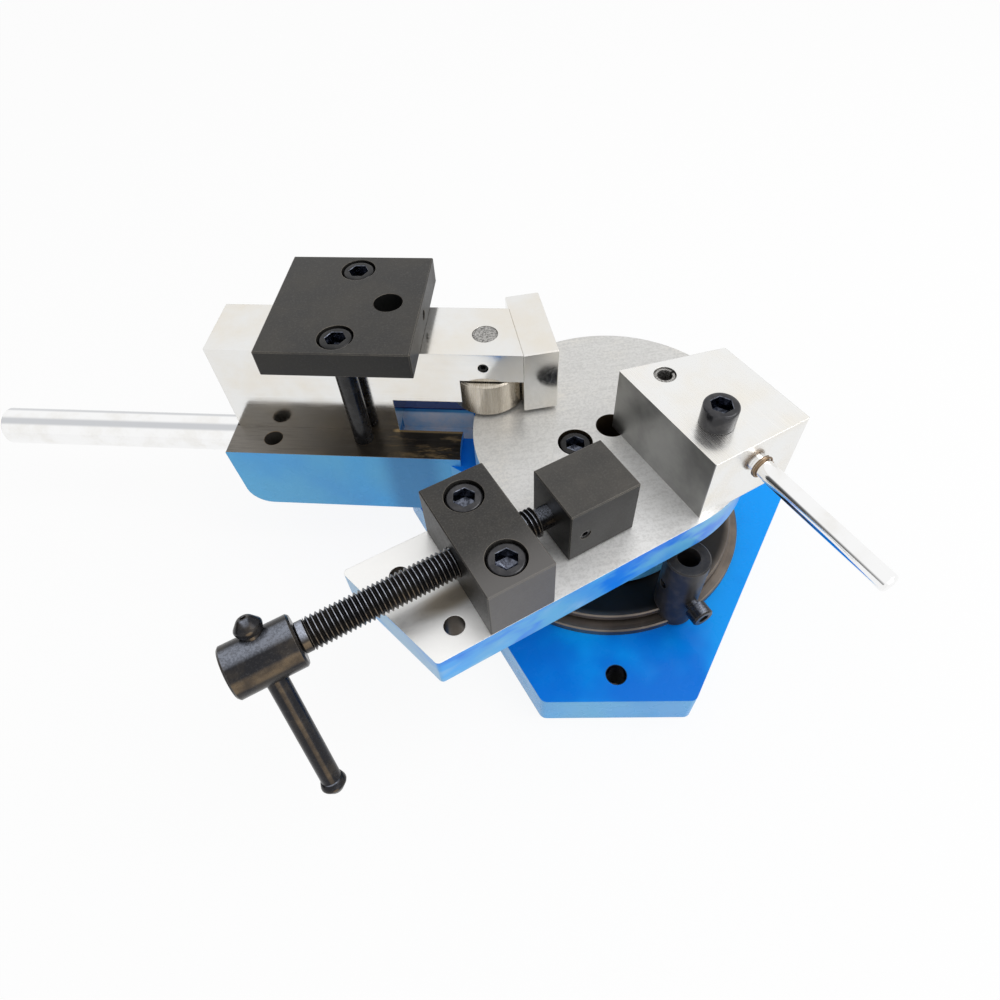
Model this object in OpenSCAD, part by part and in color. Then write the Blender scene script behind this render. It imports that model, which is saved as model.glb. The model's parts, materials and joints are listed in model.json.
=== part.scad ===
// Universal bender for flat and square bar, made to stand on a bench.
// Origin: on the bend axis, at the underside of the base plate. +X runs along the lead screw
// towards the form block, +Z is up. The arm stands where it is about to start a bend.

/* [Base plate] */
// Distance from the bend axis to each cut-off corner
base_reach = 131; // [120:1:160]
// Distance from the bend axis to each long side
base_flank = 103; // [98:1:120]
// Thickness of the base plate
base_t = 26; // [22:1:40]
// Radius of the base plate's upright corners
base_corner_r = 5; // [1:0.5:12]
// Diameter of the bench bolt holes
base_hole_d = 12; // [8:0.5:16]
// Distance of a bench bolt hole from its cut-off corner
base_hole_inset = 16; // [12:1:24]

/* [Spindle] */
// Step of the foot outside the rim that the stop post hooks under
foot_step = 6; // [4:0.5:10]
// Thickness of the foot
foot_t = 5; // [4:0.5:8]
// Thickness of the rim
rim_t = 4; // [3:0.5:8]
// Height of the groove under the rim
groove_h = 3; // [2.4:0.2:5]
// Depth of the groove under the rim
groove_depth = 3; // [2:0.5:6]
// Radius of the column that the arm turns on
column_r = 38; // [35:0.5:40]
// Radius of the bore through column and table
bore_r = 9; // [6:0.5:11]
// Radius of the spigot that centres the spindle in the base
spigot_r = 30; // [22:1:36]
// Depth of that spigot
spigot_h = 8; // [4:1:12]
// Radius of the circle of bolts that hold the spindle down
anchor_r = 55; // [50:1:70]

/* [Arm] */
// Direction of the arm's axis at rest, from +X
arm_angle = 145.8; // [140:0.1:155]
// Height of the arm's hub
hub_h = 50; // [44:1:60]
// Outer radius of the arm's hub
hub_r = 62; // [54:1:66]
// Wall of the bronze bush in the hub
bush_wall = 4; // [2:0.5:6]
// Thickness of the thrust washer under the hub
thrust_t = 2; // [1:0.5:4]
// Thickness of the washer over the hub
cover_t = 2.8; // [1.5:0.1:4]
// Distance of the arm's middle line from the line through the bend axis
arm_offset = 30.6; // [24:0.2:36]
// Distance from the bend axis to the arm's outer end
arm_tail = 234.6; // [226:0.2:260]
// Height of the machined top above the hub
pad_rise = 6; // [5:0.5:10]
// Height of the arm's underside above the hub's underside
belly_rise = 6; // [2:0.5:10]
// Radius of the rounded lower edge at the arm's end
arm_toe_r = 14; // [4:1:20]
// Gap between the table's edge and the machined top
pad_gap = 9; // [4:0.5:14]
// Width of the channel sunk into the machined top
channel_w = 20; // [12:1:26]
// Depth of that channel
channel_depth = 18; // [8:1:24]
// Distance from the bend axis to the channel's closed end
channel_tail = 133; // [115:1:138]
// Diameter of the tapped hole at the arm's outer end
arm_tap_d = 11.6; // [8:0.2:14]
// Distance from the bend axis to that tapped hole, along the arm
arm_tap_x = 207.3; // [196:0.1:215]

/* [Handle] */
// Diameter of the handle
handle_d = 25; // [20:1:28]
// Length of handle outside the arm
handle_reach = 185; // [60:5:600]
// Length of handle inside the arm
handle_socket = 72; // [50:1:76]

/* [Form bar and roller] */
// Width of the form bar
bar_w = 41; // [36:0.5:50]
// Height of the form bar's top above the table
bar_rise = 44; // [42:0.5:60]
// Distance from the bend axis to the bar's outer end
bar_tail = 231.7; // [205:0.1:260]
// Distance from the bend axis to the bar's front nose corner
bar_nose = 51; // [46:0.5:60]
// Angle of the bar's nose to square
nose_slant = 15; // [8:1:20]
// Distance from the bend axis to the step in the bar's underside
bar_step = 129; // [120:1:160]
// Clearance of the raised underside over the table
bar_lift = 8; // [4:0.5:14]
// Radius of the roller
roller_r = 22; // [18:0.5:24]
// Height of the roller
roller_h = 22.5; // [16:0.5:26]
// Clearance of the roller over the table
roller_lift = 1.5; // [1:0.1:4]
// Distance that the roller stands out of the bar's front face
roller_proud = 4.2; // [2:0.2:8]
// Distance of the roller's axis behind the bar's nose corner
roller_back = 22.6; // [20:0.2:30]
// Radius of the roller's pin
roller_pin_r = 7.3; // [5:0.1:9]
// Thickness of the forming plate on the bar's nose
plate_t = 20; // [16:0.5:26]
// Length of the forming plate
plate_w = 54; // [46:1:64]
// Height of the forming plate
plate_h = 42; // [36:1:43]

/* [Strap plate] */
// Length of the strap plate along the arm
strap_len = 84; // [70:1:100]
// Thickness of the strap plate
strap_t = 16; // [15:0.5:24]
// Distance from the bend axis to the strap screws, along the arm
strap_x = 150; // [149:1:160]
// Distance from the strap screws to the plain hole, along the arm
strap_hole_ahead = 23; // [20:1:28]
// Diameter of the plain hole in the strap plate
strap_hole_d = 16.4; // [10:0.2:20]
// Distance of a strap screw from the plate's side
strap_edge = 13.25; // [12:0.25:20]

/* [Table] */
// Radius of the round part of the table
table_r = 80.5; // [76:0.5:84]
// Thickness of the table
table_t = 21; // [18:0.5:30]
// Width of the tongue that carries the screw
tongue_w = 69; // [64:0.5:74]
// Distance from the bend axis to the tongue's front corner
tongue_reach = 153; // [146:1:180]
// Angle of the tongue's end to square
tongue_slant = 16; // [0:1:20]
// Radius of the tongue's two corners
tongue_corner_r = 2.5; // [0.2:0.2:4]
// Diameter of the two holes near the tongue's end
tongue_hole_d = 10.4; // [8:0.2:13]
// Distance between those holes
tongue_hole_pitch = 40; // [30:1:44]
// Distance of those holes from the slanted end
tongue_hole_inset = 18.8; // [12:0.2:20]
// Distance from the bend axis to each table screw
table_screw_r = 25; // [22:0.5:27]

/* [Nut block and pusher] */
// Length of the nut block along the screw
nut_len = 35; // [28:0.5:44]
// Height of the nut block
nut_h = 34; // [32:0.5:50]
// Distance from the bend axis to the middle of the nut block
nut_x = 107.4; // [104:0.2:112]
// Distance between the nut block's two fixing screws
nut_screw_pitch = 40.6; // [40:0.2:46]
// Outer radius of the lead screw's thread
thread_r = 7.95; // [6:0.05:8]
// Height of the lead screw's axis above the table
screw_h = 17; // [16:0.5:22]
// Length of the pusher along the screw
pusher_len = 39.3; // [30:0.1:50]
// Width of the pusher
pusher_w = 33.8; // [30:0.2:40]
// Height of the pusher
pusher_h = 35.5; // [32:0.5:44]
// Clearance of the pusher over the table
pusher_lift = 0.7; // [0.3:0.1:2]
// Distance of the pusher's middle from the screw's axis
pusher_off = 2.2; // [0:0.1:4]
// Open jaw between the pusher and the form block
jaw_gap = 32.9; // [32:0.1:34]
// Radius of the plain neck that turns in the pusher
neck_r = 6; // [4:0.5:7]
// Depth of the neck in the pusher
neck_depth = 22; // [16:1:28]
// Distance from the bend axis to the hub on the screw
knob_x = 202; // [200:1:240]
// Diameter of that hub
knob_d = 25.4; // [20:0.2:32]
// Length of that hub
knob_len = 32; // [28:1:44]

/* [Tommy bar] */
// Diameter of the tommy bar
tommy_d = 10; // [6:0.5:12]
// Tilt of the tommy bar from upright
tommy_tilt = 30.8; // [0:0.1:60]
// Length of the tommy bar below the screw's axis
tommy_drop = 75; // [40:1:78]
// Diameter of the caps on the tommy bar
tommy_cap_d = 15; // [13:0.5:18]
// Height of those caps
tommy_cap_h = 9; // [7:0.5:12]

/* [Form block] */
// Length of the form block along the screw's direction
form_len = 59; // [50:1:80]
// Width of the form block
form_w = 77.7; // [72:0.1:90]
// Height of the form block
form_h = 42; // [38:1:60]
// Relief angle behind the form block's nose
form_relief = 15; // [0:1:20]
// Distance of its screw and pin from the clamping face
form_fix_x = 18.6; // [16:0.2:22]
// Distance of its pin from the bend axis, across
form_pin_y = 15.5; // [14:0.5:20]
// Distance between its pin and its screw
form_fix_pitch = 40.6; // [36:0.2:48]
// Diameter of the gauge rod
rod_d = 10; // [6:0.5:11]
// Distance of the gauge rod from the clamping face
rod_x = 31.2; // [31:0.2:40]
// Height of the gauge rod above the table
rod_h = 25; // [14:1:30]
// Length of gauge rod outside the block
rod_reach = 82; // [40:1:300]
// Length of gauge rod inside the block
rod_depth = 45; // [30:1:50]

/* [Stop post] */
// Direction of the stop post from the bend axis
stop_angle = -92; // [-120:1:-60]
// Outer diameter of the stop post
stop_d = 25; // [21:0.5:28]
// Bore of the stop post
stop_bore_d = 13; // [9:0.5:14]
// Gap between the arm's hub and the stop post
stop_gap = 7; // [5:0.5:10]
// Height of the stop post above the rim
stop_h = 46; // [34:1:48]

/* [Hidden] */
$fn = 96;
// Running clearance on a radius, for what turns or slides
run_gap = 0.06;
// Seated clearance on a radius, for what is pressed or threaded in
seat_gap = 0.03;
// Clearance on a radius round a bolt that passes through
bolt_gap = 0.4;
// Clearance round a screw head
head_gap = 1;
// Side clearance of faces that move past each other
side_gap = 0.3;
// Vertical float of the arm between its washers
end_float = 0.2;
// Small chamfer on turned and ground edges
edge_c = 0.8;
// Thread sizes of the screws
m6 = 6;
m8 = 8;
m10 = 10;
m12 = 12;
// Head diameters and hexagon sockets of the cap screws
m8_head = 13;
m8_hex = 6;
m10_head = 16;
m10_hex = 8;
m12_head = 18;
m12_hex = 10;
// Overlap that lets a cut run clear of a face
eps = 1;

hook_lead = 2.5;
stop_r = hub_r + stop_gap + stop_d / 2;
rim_r = stop_r + hook_lead;
foot_r = rim_r + foot_step;
flange_top = base_t + foot_t + groove_h + rim_t;
hub_z = flange_top + thrust_t;
hub_top = hub_z + hub_h;
table_z = hub_top + cover_t + end_float;
table_top = table_z + table_t;
pad_top = hub_top + pad_rise;
belly_z = hub_z + belly_rise;
bar_top = table_top + bar_rise;
screw_z = table_top + screw_h;
form_top = table_top + form_h;
rod_z = table_top + rod_h;

bush_r = column_r + run_gap + bush_wall;
pad_r = table_r + pad_gap;
anchor_depth = 9;
anchor_count = 4;
dowel_r = 4;
dowel_len = 22;
table_screw_grip = 25;

bar_side_gap = 1.05;
bar_back_gap = 6.45;
strap_pitch = bar_w + m12 + bar_side_gap + bar_back_gap;
strap_w = strap_pitch + 2 * strap_edge;
arm_edge = 15.25;
arm_w = strap_pitch + 2 * arm_edge;
arm_mid = -arm_offset;
arm_front = arm_mid + arm_w / 2;
arm_back = arm_mid - arm_w / 2;
bar_front = arm_mid + strap_pitch / 2 - m12 / 2 - bar_side_gap;
bar_back = bar_front - bar_w;
arm_tap_edge = 12.6;
arm_tap_y = arm_front - arm_tap_edge;
arm_tap_depth = 22;
channel_lead = 0.6;
channel_mid = bar_front - channel_lead - channel_w / 2;
strap_hole_x = strap_x - strap_hole_ahead;
strap_thread = 20;

handle_rise = 18;
handle_z = belly_z + handle_rise;
handle_in = arm_tail - handle_socket;
handle_lock_x = arm_tail - handle_socket / 2;

roller_x = bar_nose + roller_back;
roller_y = bar_front + roller_proud - roller_r;
roller_z = table_top + roller_lift;
ledge_z = roller_z + roller_h + edge_c;
pocket_r = roller_r + 0.5;
pin_head_r = roller_pin_r + 3.4;
pin_head_h = 3.4;
plate_z = bar_top - plate_h;
plate_screw_z = (ledge_z + bar_top) / 2;
plate_screw_len = 20;
plate_screw_edge = 9;
plate_screw_pitch = 28;
plate_screw_grip = 13;

tongue_mid = -(table_r - tongue_w / 2);
tongue_hole_side = 13.5;
tongue_end = [-sin(tongue_slant), cos(tongue_slant)];
nut_top = table_top + nut_h;
pusher_x = -jaw_gap - pusher_len;
pusher_y = tongue_mid - pusher_off;
pusher_z = table_top + pusher_lift;
neck_lead = 11;
neck_x = pusher_x - neck_lead;
groove_in = 9;
groove_x = pusher_x + groove_in;
lock_groove_w = 4.6;
lock_groove_depth = 1.2;
lock_tip_r = 1.8;
lock_sink = 0.5;
knob_collar = 7;
knob_socket = 10;
tommy_x = -knob_x - knob_len / 2;
cap_seat = knob_d / 2 + side_gap;
cap_socket = 4;

form_back_y = -form_len * tan(form_relief);
rod_y = -form_w;
collar_t = 3;
collar_r = rod_d / 2 + 1.5;
pin_wall = 2;
pin_slit = 1.5;
pin_depth = 16;
rod_lock_edge = 12;

stop_top = flange_top + stop_h;
stop_clamp_rise = 13;
stop_clamp_z = flange_top + stop_clamp_rise;
stop_floor_rise = 10;
stop_floor = flange_top + stop_floor_rise;
stop_side_rise = 12;
stop_side_z = stop_clamp_z + stop_side_rise;
stop_side_dir = -98;

// Point at a radius and a direction
function polar(r, a) = r * [cos(a), sin(a)];

// Where the side at distance d1 facing a meets the side at distance d2 facing a + step
function side_meet(d1, d2, a, step) =
    polar(d1, a) + polar((d2 - d1 * cos(step)) / sin(step), a + 90);

// Arc of radius r that rounds the corner b between a and c
function corner_arc(a, b, c, r, n = 6) =
    let (u = (a - b) / norm(a - b),
         w = (c - b) / norm(c - b),
         half = acos(u * w) / 2,
         centre = b + (u + w) / norm(u + w) * r / sin(half),
         from = b + u * r / tan(half) - centre,
         to = b + w * r / tan(half) - centre,
         a0 = atan2(from[1], from[0]),
         turn = (atan2(to[1], to[0]) - a0 + 540) % 360 - 180)
    r == 0 ? [b] : [for (i = [0 : n]) centre + polar(r, a0 + turn * i / n)];

// Outline with rounded corners, one radius for each corner
function rounded(points, radii) =
    let (n = len(points))
    [for (i = [0 : n - 1])
        each corner_arc(points[(i + n - 1) % n], points[i], points[(i + 1) % n], radii[i])];

// Width across flats of the hexagon socket in a screw of thread size d
function hex_size(d) = d >= m12 ? m12_hex : d >= m10 ? m10_hex : m8_hex;

// Head diameter of a cap screw of thread size d
function head_size(d) = d >= m12 ? m12_head : d >= m10 ? m10_head : m8_head;

// Block with all its edges chamfered, standing on its lowest corner
module chamfered_block(size, c) {
    intersection() {
        linear_extrude(size[2]) chamfered_rectangle(size[0], size[1], c);
        translate([0, size[1], 0])
            rotate([90, 0, 0]) linear_extrude(size[1]) chamfered_rectangle(size[0], size[2], c);
        rotate([90, 0, 90]) linear_extrude(size[0]) chamfered_rectangle(size[1], size[2], c);
    }
}

module chamfered_rectangle(w, h, c) {
    polygon([[c, 0], [w - c, 0], [w, c], [w, h - c], [w - c, h], [c, h], [0, h - c], [0, c]]);
}

// Round bar along +Z with chamfered ends
module turned_bar(r, len, c) {
    rotate_extrude()
        polygon([[0, 0], [r - c, 0], [r, c], [r, len - c], [r - c, len], [0, len]]);
}

// Flat ring standing on z = 0
module ring(inner_r, outer_r, h, c = 0.4) {
    rotate_extrude()
        polygon([[inner_r, 0], [outer_r, 0], [outer_r, h - c], [outer_r - c, h], [inner_r, h]]);
}

// Hexagon socket sunk from z = 0
module hex_socket(d, depth) {
    translate([0, 0, -depth]) cylinder(d = hex_size(d) / cos(30), h = depth + eps, $fn = 6);
}

// Socket head cap screw: the head stands on z = 0 and the shank hangs below it
module cap_screw(d, len) {
    head_r = head_size(d) / 2;
    difference() {
        rotate_extrude()
            polygon([[0, -len], [d / 2 - edge_c, -len], [d / 2, -len + edge_c], [d / 2, 0],
                [head_r, 0], [head_r, d - edge_c], [head_r - edge_c, d], [0, d]]);
        translate([0, 0, d]) hex_socket(d, d / 2);
    }
}

// Headless set screw with its socket at z = 0 and its tip below
module set_screw(d, len) {
    difference() {
        translate([0, 0, -len]) turned_bar(d / 2, len, edge_c / 2);
        cylinder(d = d * 0.5 / cos(30), h = d, center = true, $fn = 6);
    }
}

// Hole for a set screw or a threaded shank, with its mouth at z = 0
module tapped_hole(d, depth) {
    translate([0, 0, -depth]) cylinder(r = d / 2 + seat_gap, h = depth + eps);
}

// Clearance hole and counterbore for a cap screw whose head seats at z = 0
module counterbored_hole(d, depth, head_depth) {
    translate([0, 0, -depth]) cylinder(r = d / 2 + bolt_gap, h = depth + eps);
    cylinder(r = head_size(d) / 2 + head_gap, h = head_depth + eps);
}

module on_arm() {
    rotate(arm_angle) children();
}

module on_stop() {
    rotate(stop_angle) children();
}

// Frame along the lead screw: +Z of the children runs along +X
module on_screw(x) {
    translate([x, tongue_mid, screw_z]) rotate([0, 90, 0]) children();
}

// Frame of the tommy bar: the children's origin is on the screw's axis, -Z down the bar
module on_tommy() {
    translate([tommy_x, tongue_mid, screw_z]) rotate([-tommy_tilt, 0, 0]) children();
}

// Frame of the bar's slanted nose: +X out of the nose, +Y along it from the front corner
module on_nose() {
    on_arm() translate([bar_nose, bar_front, 0]) rotate(180 + nose_slant) children();
}

module at_anchors() {
    for (i = [0 : anchor_count - 1])
        rotate(45 + i * 360 / anchor_count) translate([anchor_r, 0, 0]) children();
}

module at_table_screws() {
    for (side = [-1, 1])
        translate([side * table_screw_r, 0, 0]) children();
}

module at_table_dowels() {
    for (side = [-1, 1])
        translate([0, side * table_screw_r, table_z - dowel_len / 2]) children();
}

module at_nut_screws() {
    for (side = [-1, 1])
        translate([-nut_x, tongue_mid + side * nut_screw_pitch / 2, 0]) children();
}

module at_strap_screws() {
    for (side = [-1, 1])
        translate([strap_x, arm_mid + side * strap_pitch / 2, 0]) children();
}

// Places along the nose for the two screws that hold the forming plate
module at_plate_screws() {
    for (i = [0, 1])
        translate([plate_t - m8 - 0.5, plate_screw_edge + i * plate_screw_pitch, plate_screw_z])
            rotate([0, 90, 0]) children();
}

// A triangle with its corners cut off, rounded where the sides meet
module base_plate() {
    outline = [for (a = [-120 : 120 : 120]) each [
        side_meet(base_flank, base_reach, a - 60, 60),
        side_meet(base_reach, base_flank, a, 60)]];
    color([0.04, 0.42, 0.84])
    difference() {
        linear_extrude(base_t)
            polygon(rounded(outline, [for (p = outline) base_corner_r]));
        for (a = [-120 : 120 : 120])
            rotate(a) translate([base_reach - base_hole_inset, 0, -eps])
                cylinder(d = base_hole_d, h = base_t + 2 * eps);
        translate([0, 0, base_t - spigot_h]) cylinder(r = spigot_r + seat_gap, h = spigot_h + eps);
        translate([0, 0, -eps]) cylinder(r = bore_r, h = base_t);
        at_anchors() {
            translate([0, 0, -eps]) cylinder(r = m10 / 2 + bolt_gap, h = base_t + 2 * eps);
            translate([0, 0, -eps]) cylinder(d = head_size(m10) + 2 * head_gap, h = m10 + 1 + eps);
        }
    }
}

// Foot, groove, rim and column turned in one piece
module spindle() {
    groove_r = rim_r - groove_depth;
    groove_z = base_t + foot_t;
    color([0.37, 0.32, 0.28])
    difference() {
        rotate_extrude()
            polygon([
                [bore_r, base_t - spigot_h], [spigot_r, base_t - spigot_h], [spigot_r, base_t],
                [foot_r, base_t], [foot_r, groove_z - edge_c], [foot_r - edge_c, groove_z],
                [groove_r, groove_z], [groove_r, groove_z + groove_h],
                [rim_r, groove_z + groove_h], [rim_r, flange_top - edge_c],
                [rim_r - edge_c, flange_top], [column_r, flange_top],
                [column_r, table_z - edge_c], [column_r - edge_c, table_z], [bore_r, table_z]]);
        at_anchors() translate([0, 0, base_t - eps])
            cylinder(r = m10 / 2 + seat_gap, h = anchor_depth + eps);
        at_table_screws() translate([0, 0, table_z]) tapped_hole(m12, table_screw_grip + 2);
        at_table_dowels() cylinder(r = dowel_r + seat_gap, h = dowel_len);
    }
}

module spindle_screws() {
    color([0.15, 0.15, 0.15])
    at_anchors() translate([0, 0, m10 + 1]) rotate([180, 0, 0])
        cap_screw(m10, base_t - m10 - 1 + anchor_depth - 1);
}

module thrust_washer() {
    color([0.72, 0.58, 0.3])
    translate([0, 0, flange_top]) ring(column_r + 1, hub_r - 2, thrust_t);
}

module cover_washer() {
    color([0.72, 0.58, 0.3])
    translate([0, 0, hub_top]) ring(column_r + 1, hub_r - 4, cover_t);
}

// Round table with a tongue at its front left that ends at a slant
module table() {
    front = tongue_mid - tongue_w / 2;
    back = tongue_mid + tongue_w / 2;
    set_back = tongue_w * tan(tongue_slant);
    corners = [[0, back], [-tongue_reach - set_back, back], [-tongue_reach, front], [0, front]];
    hole_y = front + tongue_hole_side;
    hole_x = -tongue_reach + tongue_hole_inset / cos(tongue_slant)
        - tongue_hole_side * tan(tongue_slant);
    color([0.8, 0.8, 0.79])
    difference() {
        translate([0, 0, table_z])
        union() {
            cylinder(r = table_r, h = table_t);
            linear_extrude(table_t) polygon(rounded(corners, [0, tongue_corner_r, tongue_corner_r, 0]));
        }
        translate([0, 0, table_z - eps]) cylinder(r = bore_r, h = table_t + 2 * eps);
        for (i = [0, 1])
            translate([hole_x, hole_y, table_z - eps] + concat(i * tongue_hole_pitch * tongue_end, 0))
                cylinder(d = tongue_hole_d, h = table_t + 2 * eps);
        at_table_screws() translate([0, 0, table_top - m12 - 1])
            counterbored_hole(m12, table_t, m12 + 1);
        at_table_dowels() cylinder(r = dowel_r + seat_gap, h = dowel_len + seat_gap);
        at_nut_screws() translate([0, 0, table_top]) tapped_hole(m12, table_t + eps);
        translate([form_fix_x, -form_pin_y - form_fix_pitch, table_top])
            tapped_hole(m12, table_t + eps);
        translate([form_fix_x, -form_pin_y, table_top - pin_depth])
            cylinder(r = m12 / 2 + seat_gap, h = pin_depth + eps);
    }
}

module table_screws() {
    color([0.14, 0.14, 0.14])
    at_table_screws() translate([0, 0, table_top - m12 - 1])
        cap_screw(m12, table_t - m12 - 1 + table_screw_grip);
}

module table_dowels() {
    color([0.6, 0.6, 0.6])
    at_table_dowels() turned_bar(dowel_r, dowel_len, edge_c);
}

module nut_block() {
    color([0.29, 0.28, 0.27])
    difference() {
        translate([-nut_x - nut_len / 2, tongue_mid - tongue_w / 2, table_top])
            chamfered_block([nut_len, tongue_w, nut_h], 0.6);
        on_screw(-nut_x - nut_len) cylinder(r = thread_r + run_gap, h = 2 * nut_len);
        at_nut_screws() translate([0, 0, nut_top - m12 - 1])
            counterbored_hole(m12, nut_h, m12 + 1);
    }
}

module nut_block_screws() {
    color([0.14, 0.14, 0.14])
    at_nut_screws() translate([0, 0, nut_top - m12 - 1]) cap_screw(m12, nut_h - m12 - 1 + table_t - 2);
}

// Nose at the bend axis, clamping face towards -X, back face relieved from the nose
module form_block() {
    outline = [[0, 0], [0, -form_w], [form_len, -form_w], [form_len, form_back_y]];
    color([0.85, 0.85, 0.85])
    difference() {
        translate([0, 0, table_top])
            linear_extrude(form_h) polygon(rounded(outline, [0.8, 0.8, 0.8, 0.8]));
        translate([form_fix_x, -form_pin_y - form_fix_pitch, table_top - eps])
            cylinder(r = m12 / 2 + bolt_gap / 2, h = form_h + 2 * eps);
        translate([form_fix_x, -form_pin_y, table_top - eps])
            cylinder(r = m12 / 2 + seat_gap, h = form_h + 2 * eps);
        translate([rod_x, rod_y + rod_depth + 4, rod_z]) rotate([90, 0, 0])
            cylinder(r = rod_d / 2 + run_gap, h = rod_depth + 4 + eps);
        translate([form_len, rod_y + rod_lock_edge, rod_z]) rotate([0, 90, 0])
            tapped_hole(m6, form_len - rod_x);
    }
}

module form_block_screw() {
    color([0.14, 0.14, 0.14])
    translate([form_fix_x, -form_pin_y - form_fix_pitch, form_top])
        cap_screw(m12, form_h + table_t - 2);
}

// Slotted spring pin that keys the block to the table
module form_block_pin() {
    pin_r = m12 / 2;
    color([0.6, 0.6, 0.6])
    difference() {
        translate([form_fix_x, -form_pin_y, table_top - pin_depth + 1])
        difference() {
            turned_bar(pin_r, form_h + pin_depth - 1.5, edge_c);
            translate([0, 0, -eps])
                cylinder(r = pin_r - pin_wall, h = form_h + pin_depth + 2 * eps);
        }
        translate([form_fix_x, -form_pin_y - pin_slit / 2, 0]) cube([m12, pin_slit, form_top + eps]);
    }
}

module rod_lock_screw() {
    color([0.14, 0.14, 0.14])
    translate([form_len - 1, rod_y + rod_lock_edge, rod_z]) rotate([0, 90, 0])
        set_screw(m6, form_len - rod_x - rod_d / 2 - 1 - side_gap);
}

module gauge_rod() {
    color([0.85, 0.85, 0.86])
    translate([rod_x, rod_y + rod_depth, rod_z]) rotate([90, 0, 0])
        turned_bar(rod_d / 2, rod_depth + rod_reach, 1);
}

module rod_collar() {
    color([0.75, 0.74, 0.7])
    translate([rod_x, rod_y, rod_z]) rotate([90, 0, 0])
        ring(rod_d / 2 + seat_gap, collar_r, collar_t);
}

module pusher_block() {
    color([0.24, 0.23, 0.22])
    difference() {
        translate([pusher_x, pusher_y - pusher_w / 2, pusher_z])
            chamfered_block([pusher_len, pusher_w, pusher_h], 0.6);
        on_screw(pusher_x - eps) cylinder(r = neck_r + run_gap, h = neck_depth + 1 + eps);
        translate([groove_x, pusher_y - pusher_w / 2, screw_z]) rotate([90, 0, 0])
            tapped_hole(m6, pusher_w / 2 + pusher_off);
    }
}

// Its tip stands in the neck's groove, so the pusher can't slip off
module pusher_lock_screw() {
    reach = pusher_w / 2 + pusher_off - lock_sink;
    shoulder = reach - neck_r - 1;
    tip = reach - neck_r + lock_groove_depth - side_gap;
    color([0.14, 0.14, 0.14])
    translate([groove_x, pusher_y - pusher_w / 2 + lock_sink, screw_z]) rotate([90, 0, 0])
    difference() {
        rotate_extrude()
            polygon([[0, 0], [m6 / 2, 0], [m6 / 2, -shoulder], [lock_tip_r, -shoulder],
                [lock_tip_r, -tip], [0, -tip]]);
        cylinder(d = m6 * 0.5 / cos(30), h = m6, center = true, $fn = 6);
    }
}

// Knob end, collar, thread, neck and retaining groove turned on one bar
module lead_screw() {
    end = knob_socket - 0.5;
    collar_r = thread_r + 0.3;
    start = -knob_x - end;
    thread_end = neck_x - start;
    groove = groove_x - start;
    tip = pusher_x + neck_depth - start;
    color([0.13, 0.13, 0.13])
    on_screw(start)
    rotate_extrude()
        polygon([[0, 0], [neck_r - 0.6, 0], [neck_r, 0.6], [neck_r, end],
            [collar_r, end], [collar_r, end + knob_collar], [thread_r, end + knob_collar],
            [thread_r, thread_end - 2], [neck_r, thread_end],
            [neck_r, groove - lock_groove_w / 2],
            [neck_r - lock_groove_depth, groove - lock_groove_w / 2],
            [neck_r - lock_groove_depth, groove + lock_groove_w / 2],
            [neck_r, groove + lock_groove_w / 2],
            [neck_r, tip - 0.8], [neck_r - 0.8, tip], [0, tip]]);
}

module screw_hub() {
    color([0.15, 0.15, 0.15])
    difference() {
        on_screw(-knob_x - knob_len) turned_bar(knob_d / 2, knob_len, 1);
        on_screw(-knob_x - knob_socket) cylinder(r = neck_r + seat_gap, h = knob_socket + eps);
        on_tommy() cylinder(r = tommy_d / 2 + run_gap, h = 2 * knob_d, center = true);
        on_tommy() translate([knob_len / 2 - knob_socket / 2, 0, -knob_d / 2 - eps])
            cylinder(r = 2 + seat_gap, h = knob_d / 2 - neck_r + eps);
    }
}

module hub_pin() {
    color([0.5, 0.5, 0.5])
    on_tommy() translate([knob_len / 2 - knob_socket / 2, 0, -knob_d / 2 + 0.4])
        turned_bar(2, knob_d / 2 - neck_r - 0.4 - seat_gap, 0.3);
}

module tommy_bar() {
    color([0.2, 0.2, 0.22])
    on_tommy() translate([0, 0, -tommy_drop - cap_socket])
        turned_bar(tommy_d / 2, tommy_drop + cap_seat + 2 * cap_socket, edge_c);
}

// Domed caps with a small socket, one over each end of the tommy bar
module tommy_caps() {
    color([0.15, 0.15, 0.15])
    on_tommy()
        for (flip = [0, 1])
            translate([0, 0, flip ? -tommy_drop : cap_seat]) rotate([flip * 180, 0, 0])
                tommy_cap();
}

module tommy_cap() {
    crown = 3.4;
    difference() {
        rotate_extrude()
            polygon(concat([[0, 0], [tommy_cap_d / 2 - 1, 0], [tommy_cap_d / 2, 1]],
                [for (i = [0 : 8]) [tommy_cap_d / 2 - crown * (1 - cos(i * 10)),
                    tommy_cap_h - crown + crown * sin(i * 10)]],
                [[0, tommy_cap_h]]));
        translate([0, 0, -eps]) cylinder(r = tommy_d / 2 + seat_gap, h = cap_socket + eps);
        translate([0, 0, tommy_cap_h - 2.5]) cylinder(d = 4 / cos(30), h = 4, $fn = 6);
    }
}

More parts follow.
